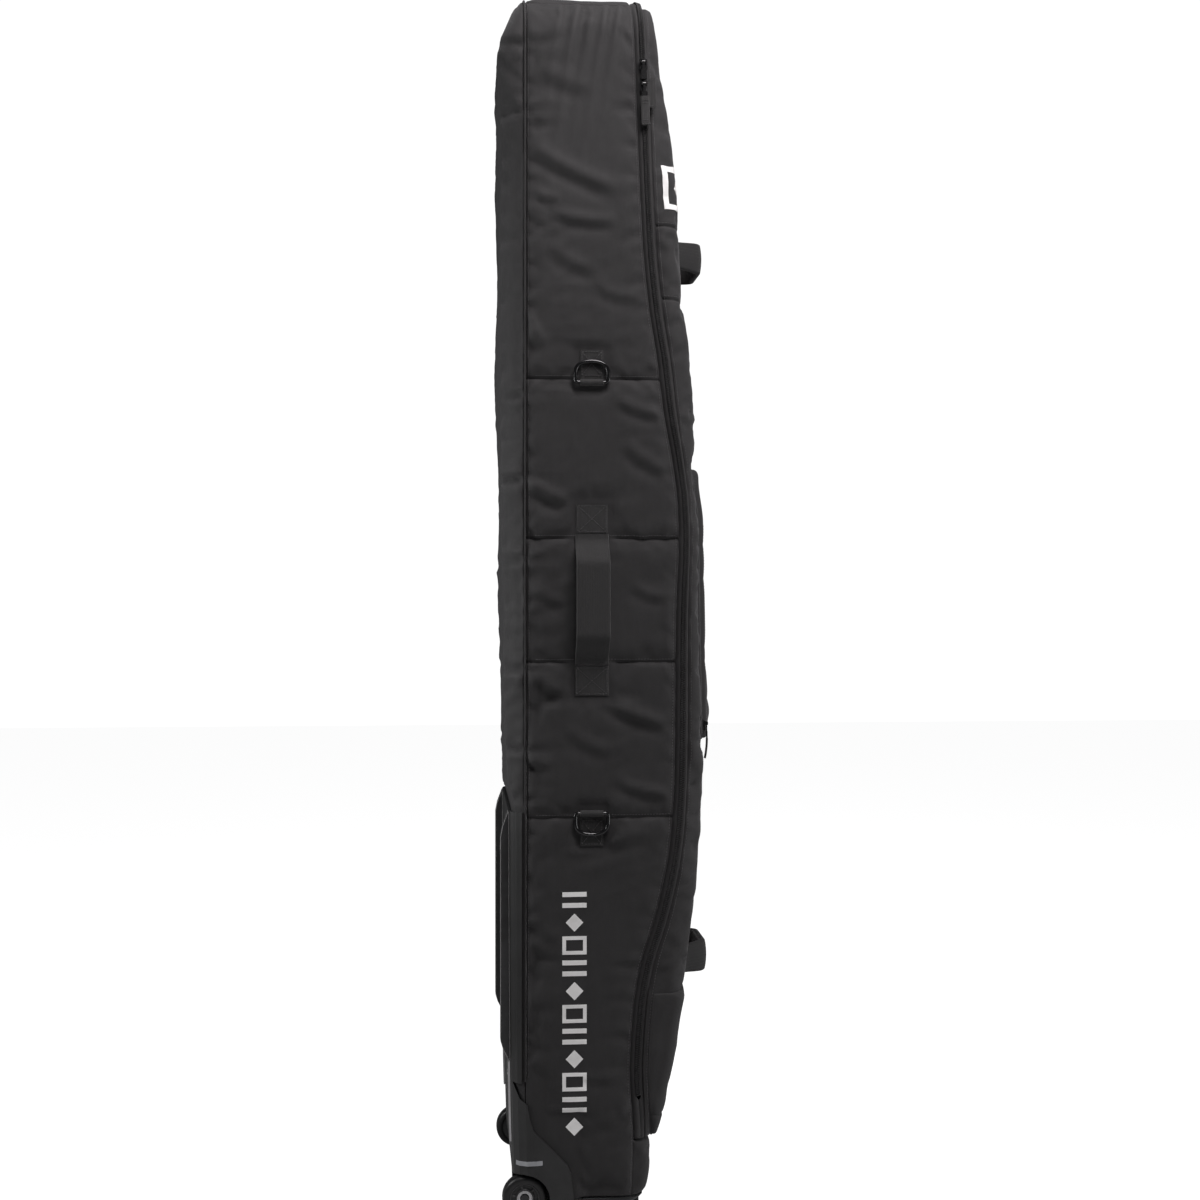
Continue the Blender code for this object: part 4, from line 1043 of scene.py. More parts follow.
def clear_wheels(obj, signs=(-1, 1)):
    """Take the wheel wells out of a soft piece."""
    cutters = []
    for sign in signs:
        for radius, depth in ((0.0389, 0.0380), (0.0088, 0.0430)):
            cutter = bore(sign, radius, depth)
            cutters.append(cutter)
            mod = modifier(obj, "BOOLEAN", operation="DIFFERENCE", solver="EXACT")
            mod.object = cutter
    apply_modifiers(obj)
    if not obj.data.polygons:
        raise RuntimeError("the wheel cut left nothing of " + obj.name)
    for cutter in cutters:
        mesh = cutter.data
        bpy.data.objects.remove(cutter)
        bpy.data.meshes.remove(mesh)
    obj.data.shade_smooth()
    obj.data.set_sharp_from_angle(angle=math.radians(50))


by_name = {p.name: p for p in PANELS}
clear_wheels(by_name["side_panel_left"].obj, (-1,))
clear_wheels(by_name["side_panel_right"].obj, (1,))
clear_wheels(by_name["back_panel"].obj)


def top_grid(rows, arc):
    """The crown between the zip and the back seam."""
    start = math.asin((SHOULDER + 0.0004 - (HEIGHT - TOP_R)) / TOP_R)
    grid = []
    for s in rows:
        line = []
        for k in range(arc):
            z = HEIGHT - TOP_R + TOP_R * math.sin(start + (math.pi / 2 - start) * k / (arc - 1))
            y = (1 - s) * (zip_y(z) - OVER_TAPE) + s * (SEAM - WELT_GAP)
            line.append((MID_X - body_half(y, z), y, z))
        flat = MID_X - line[-1][0]
        across = [(MID_X + flat * u, line[-1][1], HEIGHT) for u in np.linspace(-1, 1, 44)[1:-1]]
        back = [(2 * MID_X - x, y, z) for x, y, z in line[::-1]]
        grid.append(line + across + back)
    return np.array(grid)


CROWN_DEEP = 0.15       # from the zip to the back seam, over the top
crown_rows = spaced(0.0, CROWN_DEEP, 0.006) / CROWN_DEEP
crown_pts = top_grid(crown_rows, 14)
crown_nrm = normals_of(crown_pts, CENTRE)
edge = np.minimum(crown_rows, 1 - crown_rows)[:, None] * CROWN_DEEP + np.zeros(crown_pts.shape[:2])
run = travelled(crown_pts[len(crown_rows) // 2])
edge = np.minimum(edge, np.minimum(run, run[-1] - run)[None, :])
near = np.clip(1 - edge / ROLL, 0, 1)
height = -0.0026 * np.exp(-edge / 0.025) - 0.0030 * (1 - np.sqrt(1 - near * near))
gathers = np.sin(crown_pts[..., 0] * 190 + 1.2 * np.sin(crown_pts[..., 1] * 60))
height += 0.0018 * gathers * np.exp(-edge / 0.018) * smoothstep(0, 0.006, edge)
height += 0.0015 * noise_field(crown_pts, 0.07, 31, 2) * smoothstep(0, 0.03, edge)
height = np.minimum(height, 0.003)
verts, faces = shell_mesh(crown_pts + crown_nrm * height[..., None], crown_pts - crown_nrm * PAD)
crown_piece = make("top_end_panel_padded", verts, faces, CLOTH, "bag_body", "top_end_panel",
                   slot="pack_cloth")


def ring_at(z, grow, n=64):
    """A closed outline of the body at a height."""
    front = wrap3(z, MID_Y, True, n, grow)
    back = wrap3(z, MID_Y, False, n, grow)[::-1]
    return np.concatenate([front[:-1], back[:-1]])


def base_rings(grow, top):
    """Outlines from the base's rim down round its edge and in to the middle of its floor."""
    low = BASE_Z - grow
    r = BASE_R + grow
    level = BASE_Z + BASE_R
    # The round starts just under the rim, so that the rings go down one below another.
    start = math.degrees(math.asin((level - top) / r)) + 2.5
    heights = [top] + [level - r * math.sin(math.radians(a)) for a in np.linspace(start, 90, 8)]
    rings = [ring_at(z, grow) for z in heights]
    centre = np.array((MID_X, MID_Y, low))
    for share in (0.86, 0.66, 0.42, 0.16):
        rings.append(centre + (rings[8] - centre) * np.array((share, share, 1.0)))
    return rings


outside = base_rings(-0.0006, LOW - 0.0005)
inside = base_rings(-PAD, LOW - 0.0005)
verts, faces = lofted(outside[::-1] + inside)
base_piece = make("bottom_end_panel_padded", verts, faces, CLOTH_DARK, "bag_body",
                  "bottom_end_panel", slot="pack_cloth")
clear_wheels(base_piece)


# ---- Zip ---------------------------------------------------------------------------------------
def zip_top(d):
    """Height at which a line d ahead of the zip seam turns over the top."""
    lo, hi = 1.70, HEIGHT
    if zip_y(hi) - d >= front_y(hi):
        return hi
    for _ in range(40):
        mid = (lo + hi) / 2
        if zip_y(mid) - d > front_y(mid):
            lo = mid
        else:
            hi = mid
    return lo


def over_the_top(upright, turn, count):
    """A line up the left side and round its turn, carried on over the top and down the right."""
    left = np.array(upright[:-1] + [tuple(p) for p in turn])
    flat, y, z = left[-1]
    across = [(MID_X + flat * u, y, z) for u in np.linspace(-1, 1, count)[1:-1]]
    middle = np.array((MID_X, 0, 0))
    return np.concatenate([left * np.array((-1, 1, 1)) + middle, across, (left + middle)[::-1]])


def zip_path(d, z0, step=0.005, closing=0.0):
    """Up the left side, over the top and down the right, d ahead of the zip seam.

    Below the end of the chain the line moves a further `closing` ahead, to shut the slot there.
    """
    highest = zip_top(d)
    zs = np.linspace(z0, BEND_Z, int((BEND_Z - z0) / step) + 1)
    up = []
    for z in zs:
        y = zip_y(z) - d - (closing if z < ZIP_END - 0.001 else 0.0)
        up.append((body_half(y, z), y, z))
    raw = []
    for t in np.linspace(0, 1, 160):
        z = BEND_Z + (highest - BEND_Z) * math.sin(t * math.pi / 2)
        raw.append((body_half(zip_y(z) - d, z), zip_y(z) - d, z))
    return over_the_top(up, even(raw, 30), 44)


ZIP_LOW = HINGE_Z + 0.0012


def ribbon(name, marks, z0, thick, mat, body, node, slot="zip_tape"):
    """A strip along the zip; marks are (distance ahead of the seam, height off the face,
    how far the line moves to shut the slot below the chain)."""
    grid = np.stack([zip_path(d, z0, closing=c) for d, _, c in marks], axis=1)
    nrm = normals_of(grid, CENTRE)
    lifts = np.array([h for _, h, _ in marks])[None, :, None]
    outer = grid + nrm * lifts
    verts, faces = shell_mesh(outer, outer - nrm * thick)
    return make(name, verts, faces, mat, body, node, slot=slot), outer, nrm


FIRST = TAPE + GAP
SECOND = FIRST + TEETH + GAP
THIRD = SECOND + TEETH + GAP
ribbon("zip_tape_body_woven",
       [(-0.0035, -0.0080, 0), (0.0005, -0.0064, 0), (OVER_TAPE, -0.0050, 0),
        (0.0042, -0.0030, 0), (0.0062, -0.0019, 0), (TAPE, -0.0015, TEETH + GAP * 0.9)],
       ZIP_LOW, 0.0012, TAPE_CLOTH, "bag_body", "zip_tape_body")
ribbon("zip_tape_lid_woven",
       [(THIRD, -0.0015, -TEETH - GAP * 0.9), (THIRD + 0.0020, -0.0019, 0),
        (THIRD + 0.0036, -0.0030, 0), (THIRD + TAPE - LID_OVER, -0.0050, 0),
        (THIRD + TAPE - 0.0022, -0.0064, 0), (THIRD + TAPE + 0.0020, -0.0080, 0)],
       ZIP_LOW, 0.0012, TAPE_CLOTH, "lid", "zip_tape_lid")


def coil(name, d_out, d_in, body, node, phase):
    """One side of the chain: close-set turns of coil over a cord."""
    a, b = zip_path(d_out, ZIP_END), zip_path(d_in, ZIP_END)
    nrm = normals_of(np.stack([a, (a + b) / 2, b], axis=1), CENTRE)[:, 1]
    mid = (a + b) / 2
    at = travelled(mid)
    pitch = 0.0026
    rods = []
    for k in range(int(at[-1] / pitch) - 1):
        s = (k + 0.5 + phase) * pitch
        p, q, n = (np.array([np.interp(s, at, v[:, i]) for i in range(3)]) for v in (a, b, nrm))
        n /= np.linalg.norm(n)
        rods.append((p + n * 0.0002, q + n * 0.0002, n))
    return capsules(name, rods, 0.00092, COIL, body, sides=6, replaces=node, slot="zip_coil")


coil("zip_coil_body_turns", FIRST - 0.0010, FIRST + TEETH + 0.0004, "bag_body", "zip_coil_body",
     0.0)
coil("zip_coil_lid_turns", SECOND + TEETH + 0.0010, SECOND - 0.0004, "lid", "zip_coil_lid", 0.5)


def seam_path(y_off, z0):
    """A line over the bag beside the back seam."""
    y = SEAM + y_off
    raw = [(body_half(y, z), y, z) for z in np.linspace(z0, BEND_Z, 330)]
    top = []
    for t in np.linspace(0, 1, 160):
        z = BEND_Z + (HEIGHT - 0.0002 - BEND_Z) * math.sin(t * math.pi / 2)
        top.append((body_half(y, z), y, z))
    return over_the_top(raw, even(top, 30), 40)


WELT_Z = 0.1990         # the welt ends behind the wheel housing
welt = seam_path(0.0, WELT_Z)
grid = np.stack([seam_path(-0.001, WELT_Z), welt, seam_path(0.0008, WELT_Z)], axis=1)
welt_n = normals_of(grid, CENTRE)[:, 1]
pinched = np.zeros(len(welt))
for z0, depth in PINCHES:
    pinched += depth * 0.55 * np.exp(-(((welt[:, 2] - z0) / 0.006) ** 2))
# A thin round welt on a flange that is caught in the seam.
section = [(0.0014 * math.cos(a), -0.0010 + 0.0014 * math.sin(a))
           for a in np.radians(np.linspace(-50, 230, 12))] + [(-0.0008, -0.0105), (0.0008, -0.0105)]
rings = []
for i in range(len(welt)):
    t = welt[min(i + 1, len(welt) - 1)] - welt[max(i - 1, 0)]
    beside = np.cross(t, welt_n[i])
    beside /= np.linalg.norm(beside)
    rings.append(np.array([welt[i] + s * beside + (h - pinched[i]) * welt_n[i]
                           for s, h in section]))
verts, faces = lofted(rings)
make("back_seam_welt", verts, faces, TAPE_CLOTH, "bag_body", "back_seam_piping", angle=50,
     slot="webbing")


# ---- Straps, handle and loops ------------------------------------------------------------------
def strap(name, path, across, width, thick, mat, body, replaces=(), crowned=0.0, round_ends=4,
          slot="webbing", widths=None):
    """A flat strap along a path, with rounded edges; `across` is the direction of its width."""
    path = np.asarray(path, dtype=float)
    w = np.asarray(across, dtype=float)
    w = w / np.linalg.norm(w)
    r = thick / 2
    half = width / 2 - r
    section = []
    for k in range(round_ends + 1):
        a = math.radians(-90 + 180 * k / round_ends)
        section.append((half + r * math.cos(a), r * math.sin(a)))
    for k in range(1, 8):
        u = 1 - 2 * k / 8
        section.append((half * u, r + crowned * (1 - u * u)))
    for k in range(round_ends + 1):
        a = math.radians(90 + 180 * k / round_ends)
        section.append((-half + r * math.cos(a), r * math.sin(a)))
    for k in range(1, 8):
        u = -1 + 2 * k / 8
        section.append((half * u, -r - crowned * (1 - u * u)))
    n = len(path)
    rings = []
    for i in range(n):
        a, b = path[max(i - 1, 0)], path[min(i + 1, n - 1)]
        t = (b - a) / np.linalg.norm(b - a)
        nrm = np.cross(t, w)
        nrm /= np.linalg.norm(nrm)
        share = 1.0 if widths is None else (widths[i] / 2 - r) / half
        rings.append(np.array([path[i] + (s + (share - 1) * max(-half, min(half, s))) * w + h * nrm
                               for s, h in section]))
    verts, faces = lofted(rings)
    return make(name, verts, faces, mat, body, replaces, angle=60, slot=slot)


def smooth_curve(points, n):
    """A smooth line through a few points, at even steps."""
    pts = np.asarray(points, dtype=float)
    dense = cubic_resample(pts, np.linspace(0, 1, 40 * len(pts)), 0)
    return even(dense, n)


def ease(t):
    return 0.5 - 0.5 * math.cos(math.pi * t)


lo, hi, ramp = 0.796, 0.973, 0.040
handle = []
for k in range(61):
    z = lo - 0.008 + (hi - lo + 0.016) * k / 60
    rise = ease(min(1.0, max(0.0, (z - lo) / ramp))) * ease(min(1.0, max(0.0, (hi - z) / ramp)))
    handle.append((LEFT - 0.0008 - 0.0262 * rise, HANDLE_Y, z))
handle[0] = (LEFT + 0.004, HANDLE_Y, lo - 0.004)
handle[-1] = (LEFT + 0.004, HANDLE_Y, hi + 0.002)
strap("side_handle_webbing", smooth_curve(handle, 70), (0, 1, 0), WEB, 0.0032, WEB_UP, "bag_body",
      "side_handle")


def patch(name, z0, z1, half, replaces):
    """A flat tab of webbing sewn on to the side panel."""
    path = [(LEFT - 0.0002, HANDLE_Y, z) for z in np.linspace(z0, z1, 12)]
    return strap(name, path, (0, 1, 0), 2 * half, 0.0014, WEB_UP, "bag_body", replaces)


patch("handle_patch_upper_webbing", 0.9795, 1.0200, 0.0225, "handle_patch_upper")
patch("handle_patch_lower_webbing", 0.7480, 0.7895, 0.0240, "handle_patch_lower")


def x_box(y0, y1, z0, z1, x, pitch=0.0040, cross=True):
    """A sewn box with a cross in it, as stitches on the plane x."""
    corners = [(x, y0, z0), (x, y1, z0), (x, y1, z1), (x, y0, z1)]
    lines = list(zip(corners, corners[1:] + corners[:1]))
    if cross:
        lines += [(corners[0], corners[2]), (corners[1], corners[3])]
    rods = []
    for a, b in lines:
        path = np.array([a, b])
        rods += stitch_rods(path, np.array([(-1, 0, 0)] * 2), pitch, pitch * 0.68)
    return rods


BAR_X = LEFT - GAP - 0.0015 - GAP - 0.0026
RINGS = {"upper": (1.1935, 1), "lower": (0.5805, -1)}     # height of the bar, way the arc points
RING_WIRE, RING_INNER = 0.0029, 0.0032
box_rods = []
for z0, z1, half in ((0.9815, 1.0180, 0.0203), (0.7500, 0.7875, 0.0218)):
    box_rods += x_box(HANDLE_Y - half, HANDLE_Y + half, z0, z1, LEFT - 0.0011)
for bar_z, up in RINGS.values():
    a, b = sorted((bar_z + up * 0.0100, bar_z + up * 0.0440))
    box_rods += x_box(RING_Y - 0.0140, RING_Y + 0.0140, a, b, LEFT - 0.0018)
capsules("box_stitching", box_rods, 0.00042, THREAD, "bag_body", slot="webbing")


def d_curve(up, n=96):
    """The middle line of a D-ring as (across, up), with its bar along the first axis."""
    half, tall, corner, rise = 0.0234, 0.0300, 0.004, 0.009
    pts = [(-half + corner, 0.0), (0.0, 0.0), (half - corner, 0.0)]
    for k in range(1, 7):
        a = math.radians(-90 + 15 * k)
        pts.append((half - corner + corner * math.cos(a), corner + corner * math.sin(a)))
    for k in range(49):
        a = math.pi * k / 48
        pts.append((half * math.cos(a), rise + (tall - rise) * math.sin(a) ** 0.55))
    for k in range(6):
        a = math.radians(180 + 15 * k)
        pts.append((-half + corner + corner * math.cos(a), corner + corner * math.sin(a)))
    loop = np.array(pts + pts[:1])
    flat = even(loop, n + 1)[:-1]
    return flat * np.array((1, up))


for name, (bar_z, up) in RINGS.items():
    flat = d_curve(up)
    ring = np.column_stack([np.full(len(flat), BAR_X), RING_Y + flat[:, 0], bar_z + flat[:, 1]])
    n = len(ring)
    verts = []
    for i in range(n):
        t = ring[(i + 1) % n] - ring[i - 1]
        t /= np.linalg.norm(t)
        out = np.cross(t, (1, 0, 0))
        for k in range(14):
            a = 2 * math.pi * k / 14
            verts.append(ring[i] + RING_WIRE * (math.cos(a) * out
                                                + math.sin(a) * np.array((1, 0, 0))))
    faces = grid_faces(n, 14, wrap=True)
    faces += [((n - 1) * 14 + k, (n - 1) * 14 + (k + 1) % 14, (k + 1) % 14, k) for k in range(14)]
    make("d_ring_" + name + "_wire", verts, faces, RING_METAL, "ring_" + name, "d_ring_" + name,
         slot="black_metal")
    # The webbing goes down behind the arc and back up round the bar.
    tab = [(LEFT - 0.0003, RING_Y, bar_z + up * z) for z in np.linspace(0.047, 0.004, 12)]
    turn = RING_INNER + 0.00075
    for k in range(15):
        a = math.radians(250 * k / 14)
        tab.append((BAR_X + turn * math.cos(a), RING_Y, bar_z - up * turn * math.sin(a)))
    strap("d_ring_tab_" + name + "_webbing", smooth_curve(tab, 60), (0, 1, 0), 0.033, 0.0013,
          WEB_UP, "bag_body", "d_ring_tab_" + name)


def front_loop(name, z_mid, front, thick, width):
    """A padded grab strap that arches across the lid, narrower where it is sewn down."""
    base = front_y(z_mid) - crown(z_mid) + 0.006
    path, widths = [], []
    for k in range(81):
        x = -0.077 + 0.154 * k / 80
        t = ease(min(1.0, max(0.0, (0.077 - abs(x)) / 0.046)))
        path.append((MID_X + x, base + (front + thick / 2 - base) * t, z_mid))
        widths.append(width * (0.80 + 0.20 * t))
    obj = strap(name="front_loop_" + name + "_webbing", path=path, across=(0, 0, 1), width=width,
                thick=thick, mat=WEB_ALONG, body="lid", replaces="front_loop_" + name,
                crowned=0.0018, round_ends=14, widths=widths)
    rods = []
    for side in (-1, 1):
        line = np.array([(p[0], p[1] - thick / 2 - 0.0004, p[2] + side * (w / 2 - 0.0075))
                         for p, w in zip(path, widths)])[6:-6]
        rods += stitch_rods(line, np.array([(0, -1, 0)] * len(line)), 0.0042, 0.0029)
    capsules("front_loop_" + name + "_stitching", rods, 0.0004, THREAD, "lid", slot="webbing")


front_loop("upper", 1.4010, -0.1490, 0.0085, 0.047)
front_loop("lower", 0.3460, -0.1565, 0.0105, 0.049)
for name, z in (("lower", 0.440), ("upper", 1.250)):
    x0, x1 = LEFT + PAD + 0.0020, RIGHT - PAD - 0.0020
    path = [(x, -0.02075 + 0.0035 * (1 - ((x - MID_X) / (x1 - MID_X)) ** 2), z)
            for x in np.linspace(x0, x1, 60)]
    strap("tie_strap_" + name + "_webbing", path, (0, 0, 1), 0.038, 0.0015, WEB_ALONG, "bag_body",
          "tie_strap_" + name)


# ---- Pockets -----------------------------------------------------------------------------------
POCKET_WIDE = 0.256
PX0, PX1, PZ0, PZ1 = MID_X - POCKET_WIDE / 2, MID_X + POCKET_WIDE / 2, 0.6795, 1.0790
POCKET_UP = 0.0120
CORNER, HEEL = 0.050, 0.012      # radius of its upper and of its lower corners
MARGIN, FLANGE = 0.024, 0.0022   # the thin margin that the pocket's zip is sewn to
POCKET_SEAMS = [(0.9660, 0.0024), (0.9160, 0.0018), (0.8150, 0.0020), (0.7940, 0.0024)]


def lid_face(x, z):
    p = (x - MID_X) / (WIDTH / 2 - FRONT_R)
    return front_y(z) - crown(z) * max(0.0, 1 - p * p)


def pocket_edges(z):
    """Left and right edge of the middle pocket at a height."""
    inset = 0.0
    if z > PZ1 - CORNER:
        inset = CORNER - math.sqrt(max(0.0, CORNER**2 - (z - PZ1 + CORNER) ** 2))
    if z < PZ0 + HEEL:
        inset = HEEL - math.sqrt(max(0.0, HEEL**2 - (PZ0 + HEEL - z) ** 2))
    return PX0 + inset, PX1 - inset


def pocket_height(x, z):
    """How far the middle pocket's cloth stands off the lid."""
    corner_x = max(PX0 + CORNER - x, x - PX1 + CORNER, 0.0)
    corner_z = max(z - PZ1 + CORNER, 0.0)
    if corner_x > 0 and corner_z > 0:
        e = CORNER - math.hypot(corner_x, corner_z)
    else:
        e = min(x - PX0, PX1 - x, PZ1 - z)
    e = max(0.0, min(e, z - PZ0))
    thin = max(0.0, 1 - e / 0.003)
    e = max(0.0, min(e, x - PX0 - MARGIN))
    n = max(0.0, 1 - e / 0.010)
    h = FLANGE * math.sqrt(1 - thin**2) + (POCKET_UP - FLANGE) * math.sqrt(max(0.0, 1 - n**2.4))
    free = float(smoothstep(0.034, 0.066, x - PX0)) * float(smoothstep(0.0, 0.030, PX1 - x))
    h += free * 0.0030 * math.exp(-(((z - 0.730) / 0.055) ** 2))
    raised = float(smoothstep(MARGIN, MARGIN + 0.008, x - PX0))
    h -= 0.0014 * raised * (1 - float(smoothstep(0.008, 0.045, e)))
    for zs, depth in POCKET_SEAMS:
        d = abs(z - zs)
        h -= raised * min(1.0, e / 0.010) * (depth * math.exp(-((d / 0.0022) ** 2))
                                            + 0.0016 * math.exp(-((d / 0.014) ** 2)))
    for x0, z0, x1, z1, tall, wide in ((PX1 - 0.03, 0.77, MID_X + 0.02, 0.735, 0.0018, 0.007),
                                       (PX0 + 0.04, 0.705, MID_X - 0.01, 0.740, 0.0020, 0.008),
                                       (MID_X - 0.04, 0.860, MID_X + 0.06, 0.880, 0.0014, 0.010),
                                       (MID_X + 0.03, 1.010, PX1 - 0.05, 0.985, 0.0014, 0.008)):
        h += raised * float(ridge(np.array(x), np.array(z), (x0, z0), (x1, z1), tall, wide))
    return h


def pocket_grid(us, zs, flat=None):
    """The middle pocket's face, or a plain copy of the lid's `flat` in front of it."""
    grid = []
    for z in zs:
        left, right = pocket_edges(z)
        row = []
        for u in us:
            x = left + (right - left) * u
            h = pocket_height(x, z) if flat is None else flat
            row.append((x, lid_face(x, z) - h, z))
        grid.append(row)
    return np.array(grid)


us = spaced(0.0, POCKET_WIDE, 0.0045, [MARGIN], near=(0, 0.0008, 0.002, 0.004, 0.007)) / POCKET_WIDE
zs = spaced(PZ0, PZ1 - 0.0001, 0.0045, [z for z, _ in POCKET_SEAMS],
            near=(0, 0.0010, 0.0022, 0.0044))
outer = pocket_grid(us, zs)
verts, faces = shell_mesh(outer, pocket_grid(us, zs, flat=-0.0050))
middle = make("middle_pocket_padded", verts, faces, CLOTH, "lid", "middle_pocket",
              slot="pack_cloth")


def pocket_line(x, z0, z1, n, off):
    """A line up the middle pocket's face, `off` in front of its cloth."""
    return np.array([(x, lid_face(x, z) - pocket_height(x, z) - off, z)
                     for z in np.linspace(z0, z1, n)])


strip_marks = [(0.0055, -0.0006), (0.0075, 0.0004), (0.0105, 0.0007), (0.0155, 0.0007),
               (0.0185, 0.0004), (0.0205, -0.0006)]
grid = np.stack([pocket_line(PX0 + dx, PZ0 + 0.006, 0.990, 90, off) for dx, off in strip_marks],
                axis=1)
verts, faces = shell_mesh(grid, grid + np.array((0, 0.0010, 0)))
make("pocket_zip_tape", verts, faces, TAPE_CLOTH, "lid", "pocket_zip", slot="zip_tape")
chain_x = PX0 + 0.013
chain = pocket_line(chain_x, PZ0 + 0.008, 0.988, 160, 0.0010)
at = np.linspace(chain[0][2], chain[-1][2], int((chain[-1][2] - chain[0][2]) / 0.0021))
rods = []
for k, z in enumerate(at):
    y = float(np.interp(z, chain[:, 2], chain[:, 1]))
    side = -1 if k % 2 else 1
    rods.append(((chain_x - side * 0.0004, y, z), (chain_x + side * 0.0022, y, z), (0, -1, 0)))
capsules("pocket_zip_teeth", rods, 0.0007, COIL, "lid", sides=6, slot="zip_coil")


LZ0, LZ1 = HINGE_Z + 0.0030, 0.3210


def lower_path(z):
    return wrap3(z, zip_y(z) - ZIP_WIDTH - 0.0030, True, 120)


BOTTOM_SEAM = 0.1480
ROUNDING = (0, 0.0008, 0.0020, 0.0040, 0.0065)
lz = spaced(LZ0, LZ1, 0.0045, [BOTTOM_SEAM], near=ROUNDING)
lw = 0.46               # roughly the way round the pocket from side to side
lf = spaced(0.0, lw, 0.0045, near=ROUNDING) / lw
base = np.stack([at_fractions(lower_path(float(z)), lf) for z in lz])
nrm = normals_of(base, CENTRE)
front_share = smoothstep(0.25, 0.85, -nrm[..., 1])
zz = np.broadcast_to(lz[:, None], base.shape[:2])
run = np.minimum(lf, 1 - lf)[None, :] * lw + np.zeros(base.shape[:2])
e = np.minimum(run, np.minimum((zz - LZ0) * 2.0, (LZ1 - zz)))
n = np.clip(1 - e / 0.010, 0, 1)
tall = 0.0016 + 0.0058 * front_share + 0.0004 * np.exp(-(((zz - 0.150) / 0.030) ** 2))
h = tall * np.sqrt(1 - n**2.2)
h -= 0.0016 * np.exp(-(((zz - BOTTOM_SEAM) / 0.0022) ** 2))
h += 0.0010 * np.exp(-(((zz - 0.235) / 0.045) ** 2)) * front_share
h += 0.0010 * noise_field(base, 0.06, 41, 2) * smoothstep(0.0, 0.02, e)
for z0, sign in ((0.262, 1), (0.205, -1), (0.182, 1)):
    d = zz - z0 - 0.12 * (base[..., 0] - MID_X)
    h += sign * 0.0012 * np.exp(-((d / 0.009) ** 2)) * np.exp(-run / 0.12)
verts, faces = shell_mesh(base + nrm * h[..., None], base - nrm * 0.0050)
lower = make("lower_pocket_padded", verts, faces, CLOTH, "lid", "lower_pocket", slot="pack_cloth")

# The fold that the lid turns about.
xs = np.linspace(LEFT + 0.027, RIGHT - 0.027, 60)
tube("lid_hinge_fold", [(x, HINGE_Y, HINGE_Z) for x in xs], 0.0022, WEB_ALONG, "bag_body", sides=12,
     replaces="lid_hinge_binding", slot="webbing")

# ---- Zip pulls and the tab beside them ---------------------------------------------------------
lean = np.array((0.0, zip_y(1.700) - zip_y(1.400), 0.300))
lean /= np.linalg.norm(lean)
sideways = np.array((0.0, lean[2], -lean[1]))
place = np.array((LEFT - 0.0012 - 2 * GAP, zip_y(1.617) - ZIP_WIDTH / 2, 1.617))
tab = []
for k in range(24):
    t = k / 23
    tab.append(place + np.array((-0.0052 + 0.0006 * math.sin(t * 3.1), 0, 0))
               + lean * (-0.0150 - 0.0408 * t))
strap("pull_tab_lower_webbing", tab, sideways, 0.0128, 0.0032, WEB_UP, "zip_pull_lower",
      "pull_tab_lower", crowned=0.0004)
rods = []
for t in (0.16, 0.24, 0.84, 0.90):
    c = tab[0] + (tab[-1] - tab[0]) * t + np.array((-0.0021, 0, 0))
    path = np.array([c - sideways * 0.0042, c + sideways * 0.0042])
    rods += stitch_rods(path, np.array([(-1.0, 0, 0)] * 2), 0.0014, 0.0010)
capsules("pull_tab_stitching", rods, 0.00032, THREAD, "zip_pull_lower", slot="webbing")
zt = np.linspace(1.586, 1.628, 14)
tab = [(LEFT - 0.0050, zip_y(z) - ZIP_WIDTH + 0.0036, z) for z in zt]
strap("zip_garage_tab", tab, (0.16, 1, 0), 0.0150, 0.0016, WEB_UP, "lid")
box = x_box(tab[0][1] - 0.0052, tab[0][1] + 0.0052, 1.589, 1.625, LEFT - 0.0061, 0.0026, False)
capsules("zip_garage_stitching", box, 0.00034, THREAD, "lid", slot="webbing")

# ---- Wheels ------------------------------------------------------------------------------------
TYRE_PROFILE = [(0.0007, 0.0218), (0.0005, 0.0224), (0.0, 0.0236), (0.0, 0.0262), (0.0005, 0.0282),
                (0.0017, 0.0300), (0.0036, 0.0311), (0.0062, 0.0318), (0.0095, 0.0320),
                (0.0114, 0.0320), (0.0117, 0.0317), (0.0123, 0.0317), (0.0126, 0.0320),
                (0.0145, 0.0320), (0.0178, 0.0318), (0.0204, 0.0311), (0.0223, 0.0300),
                (0.0235, 0.0282), (0.0240, 0.0262), (0.0240, 0.0236), (0.0235, 0.0224),
                (0.0233, 0.0218)]
HUB_PROFILE = [(0.0015, 0.0113), (0.0100, 0.0113), (0.0100, 0.0060), (0.0230, 0.0060),
               (0.0230, 0.0215), (0.0012, 0.0215), (0.0008, 0.0212), (0.0007, 0.0204),
               (0.0010, 0.0196), (0.0024, 0.0188), (0.0032, 0.0181), (0.0034, 0.0170),
               (0.0034, 0.0152), (0.0030, 0.0143), (0.0014, 0.0136), (0.0008, 0.0130),
               (0.0009, 0.0120)]
BEARING_PROFILE = [(0.0026, 0.0110), (0.0024, 0.0108), (0.0024, 0.0097), (0.0028, 0.0094),
                   (0.0031, 0.0092), (0.0031, 0.0066), (0.0028, 0.0064), (0.0024, 0.0061),
                   (0.0024, 0.0045), (0.0027, 0.0043), (0.0096, 0.0043), (0.0096, 0.0110)]
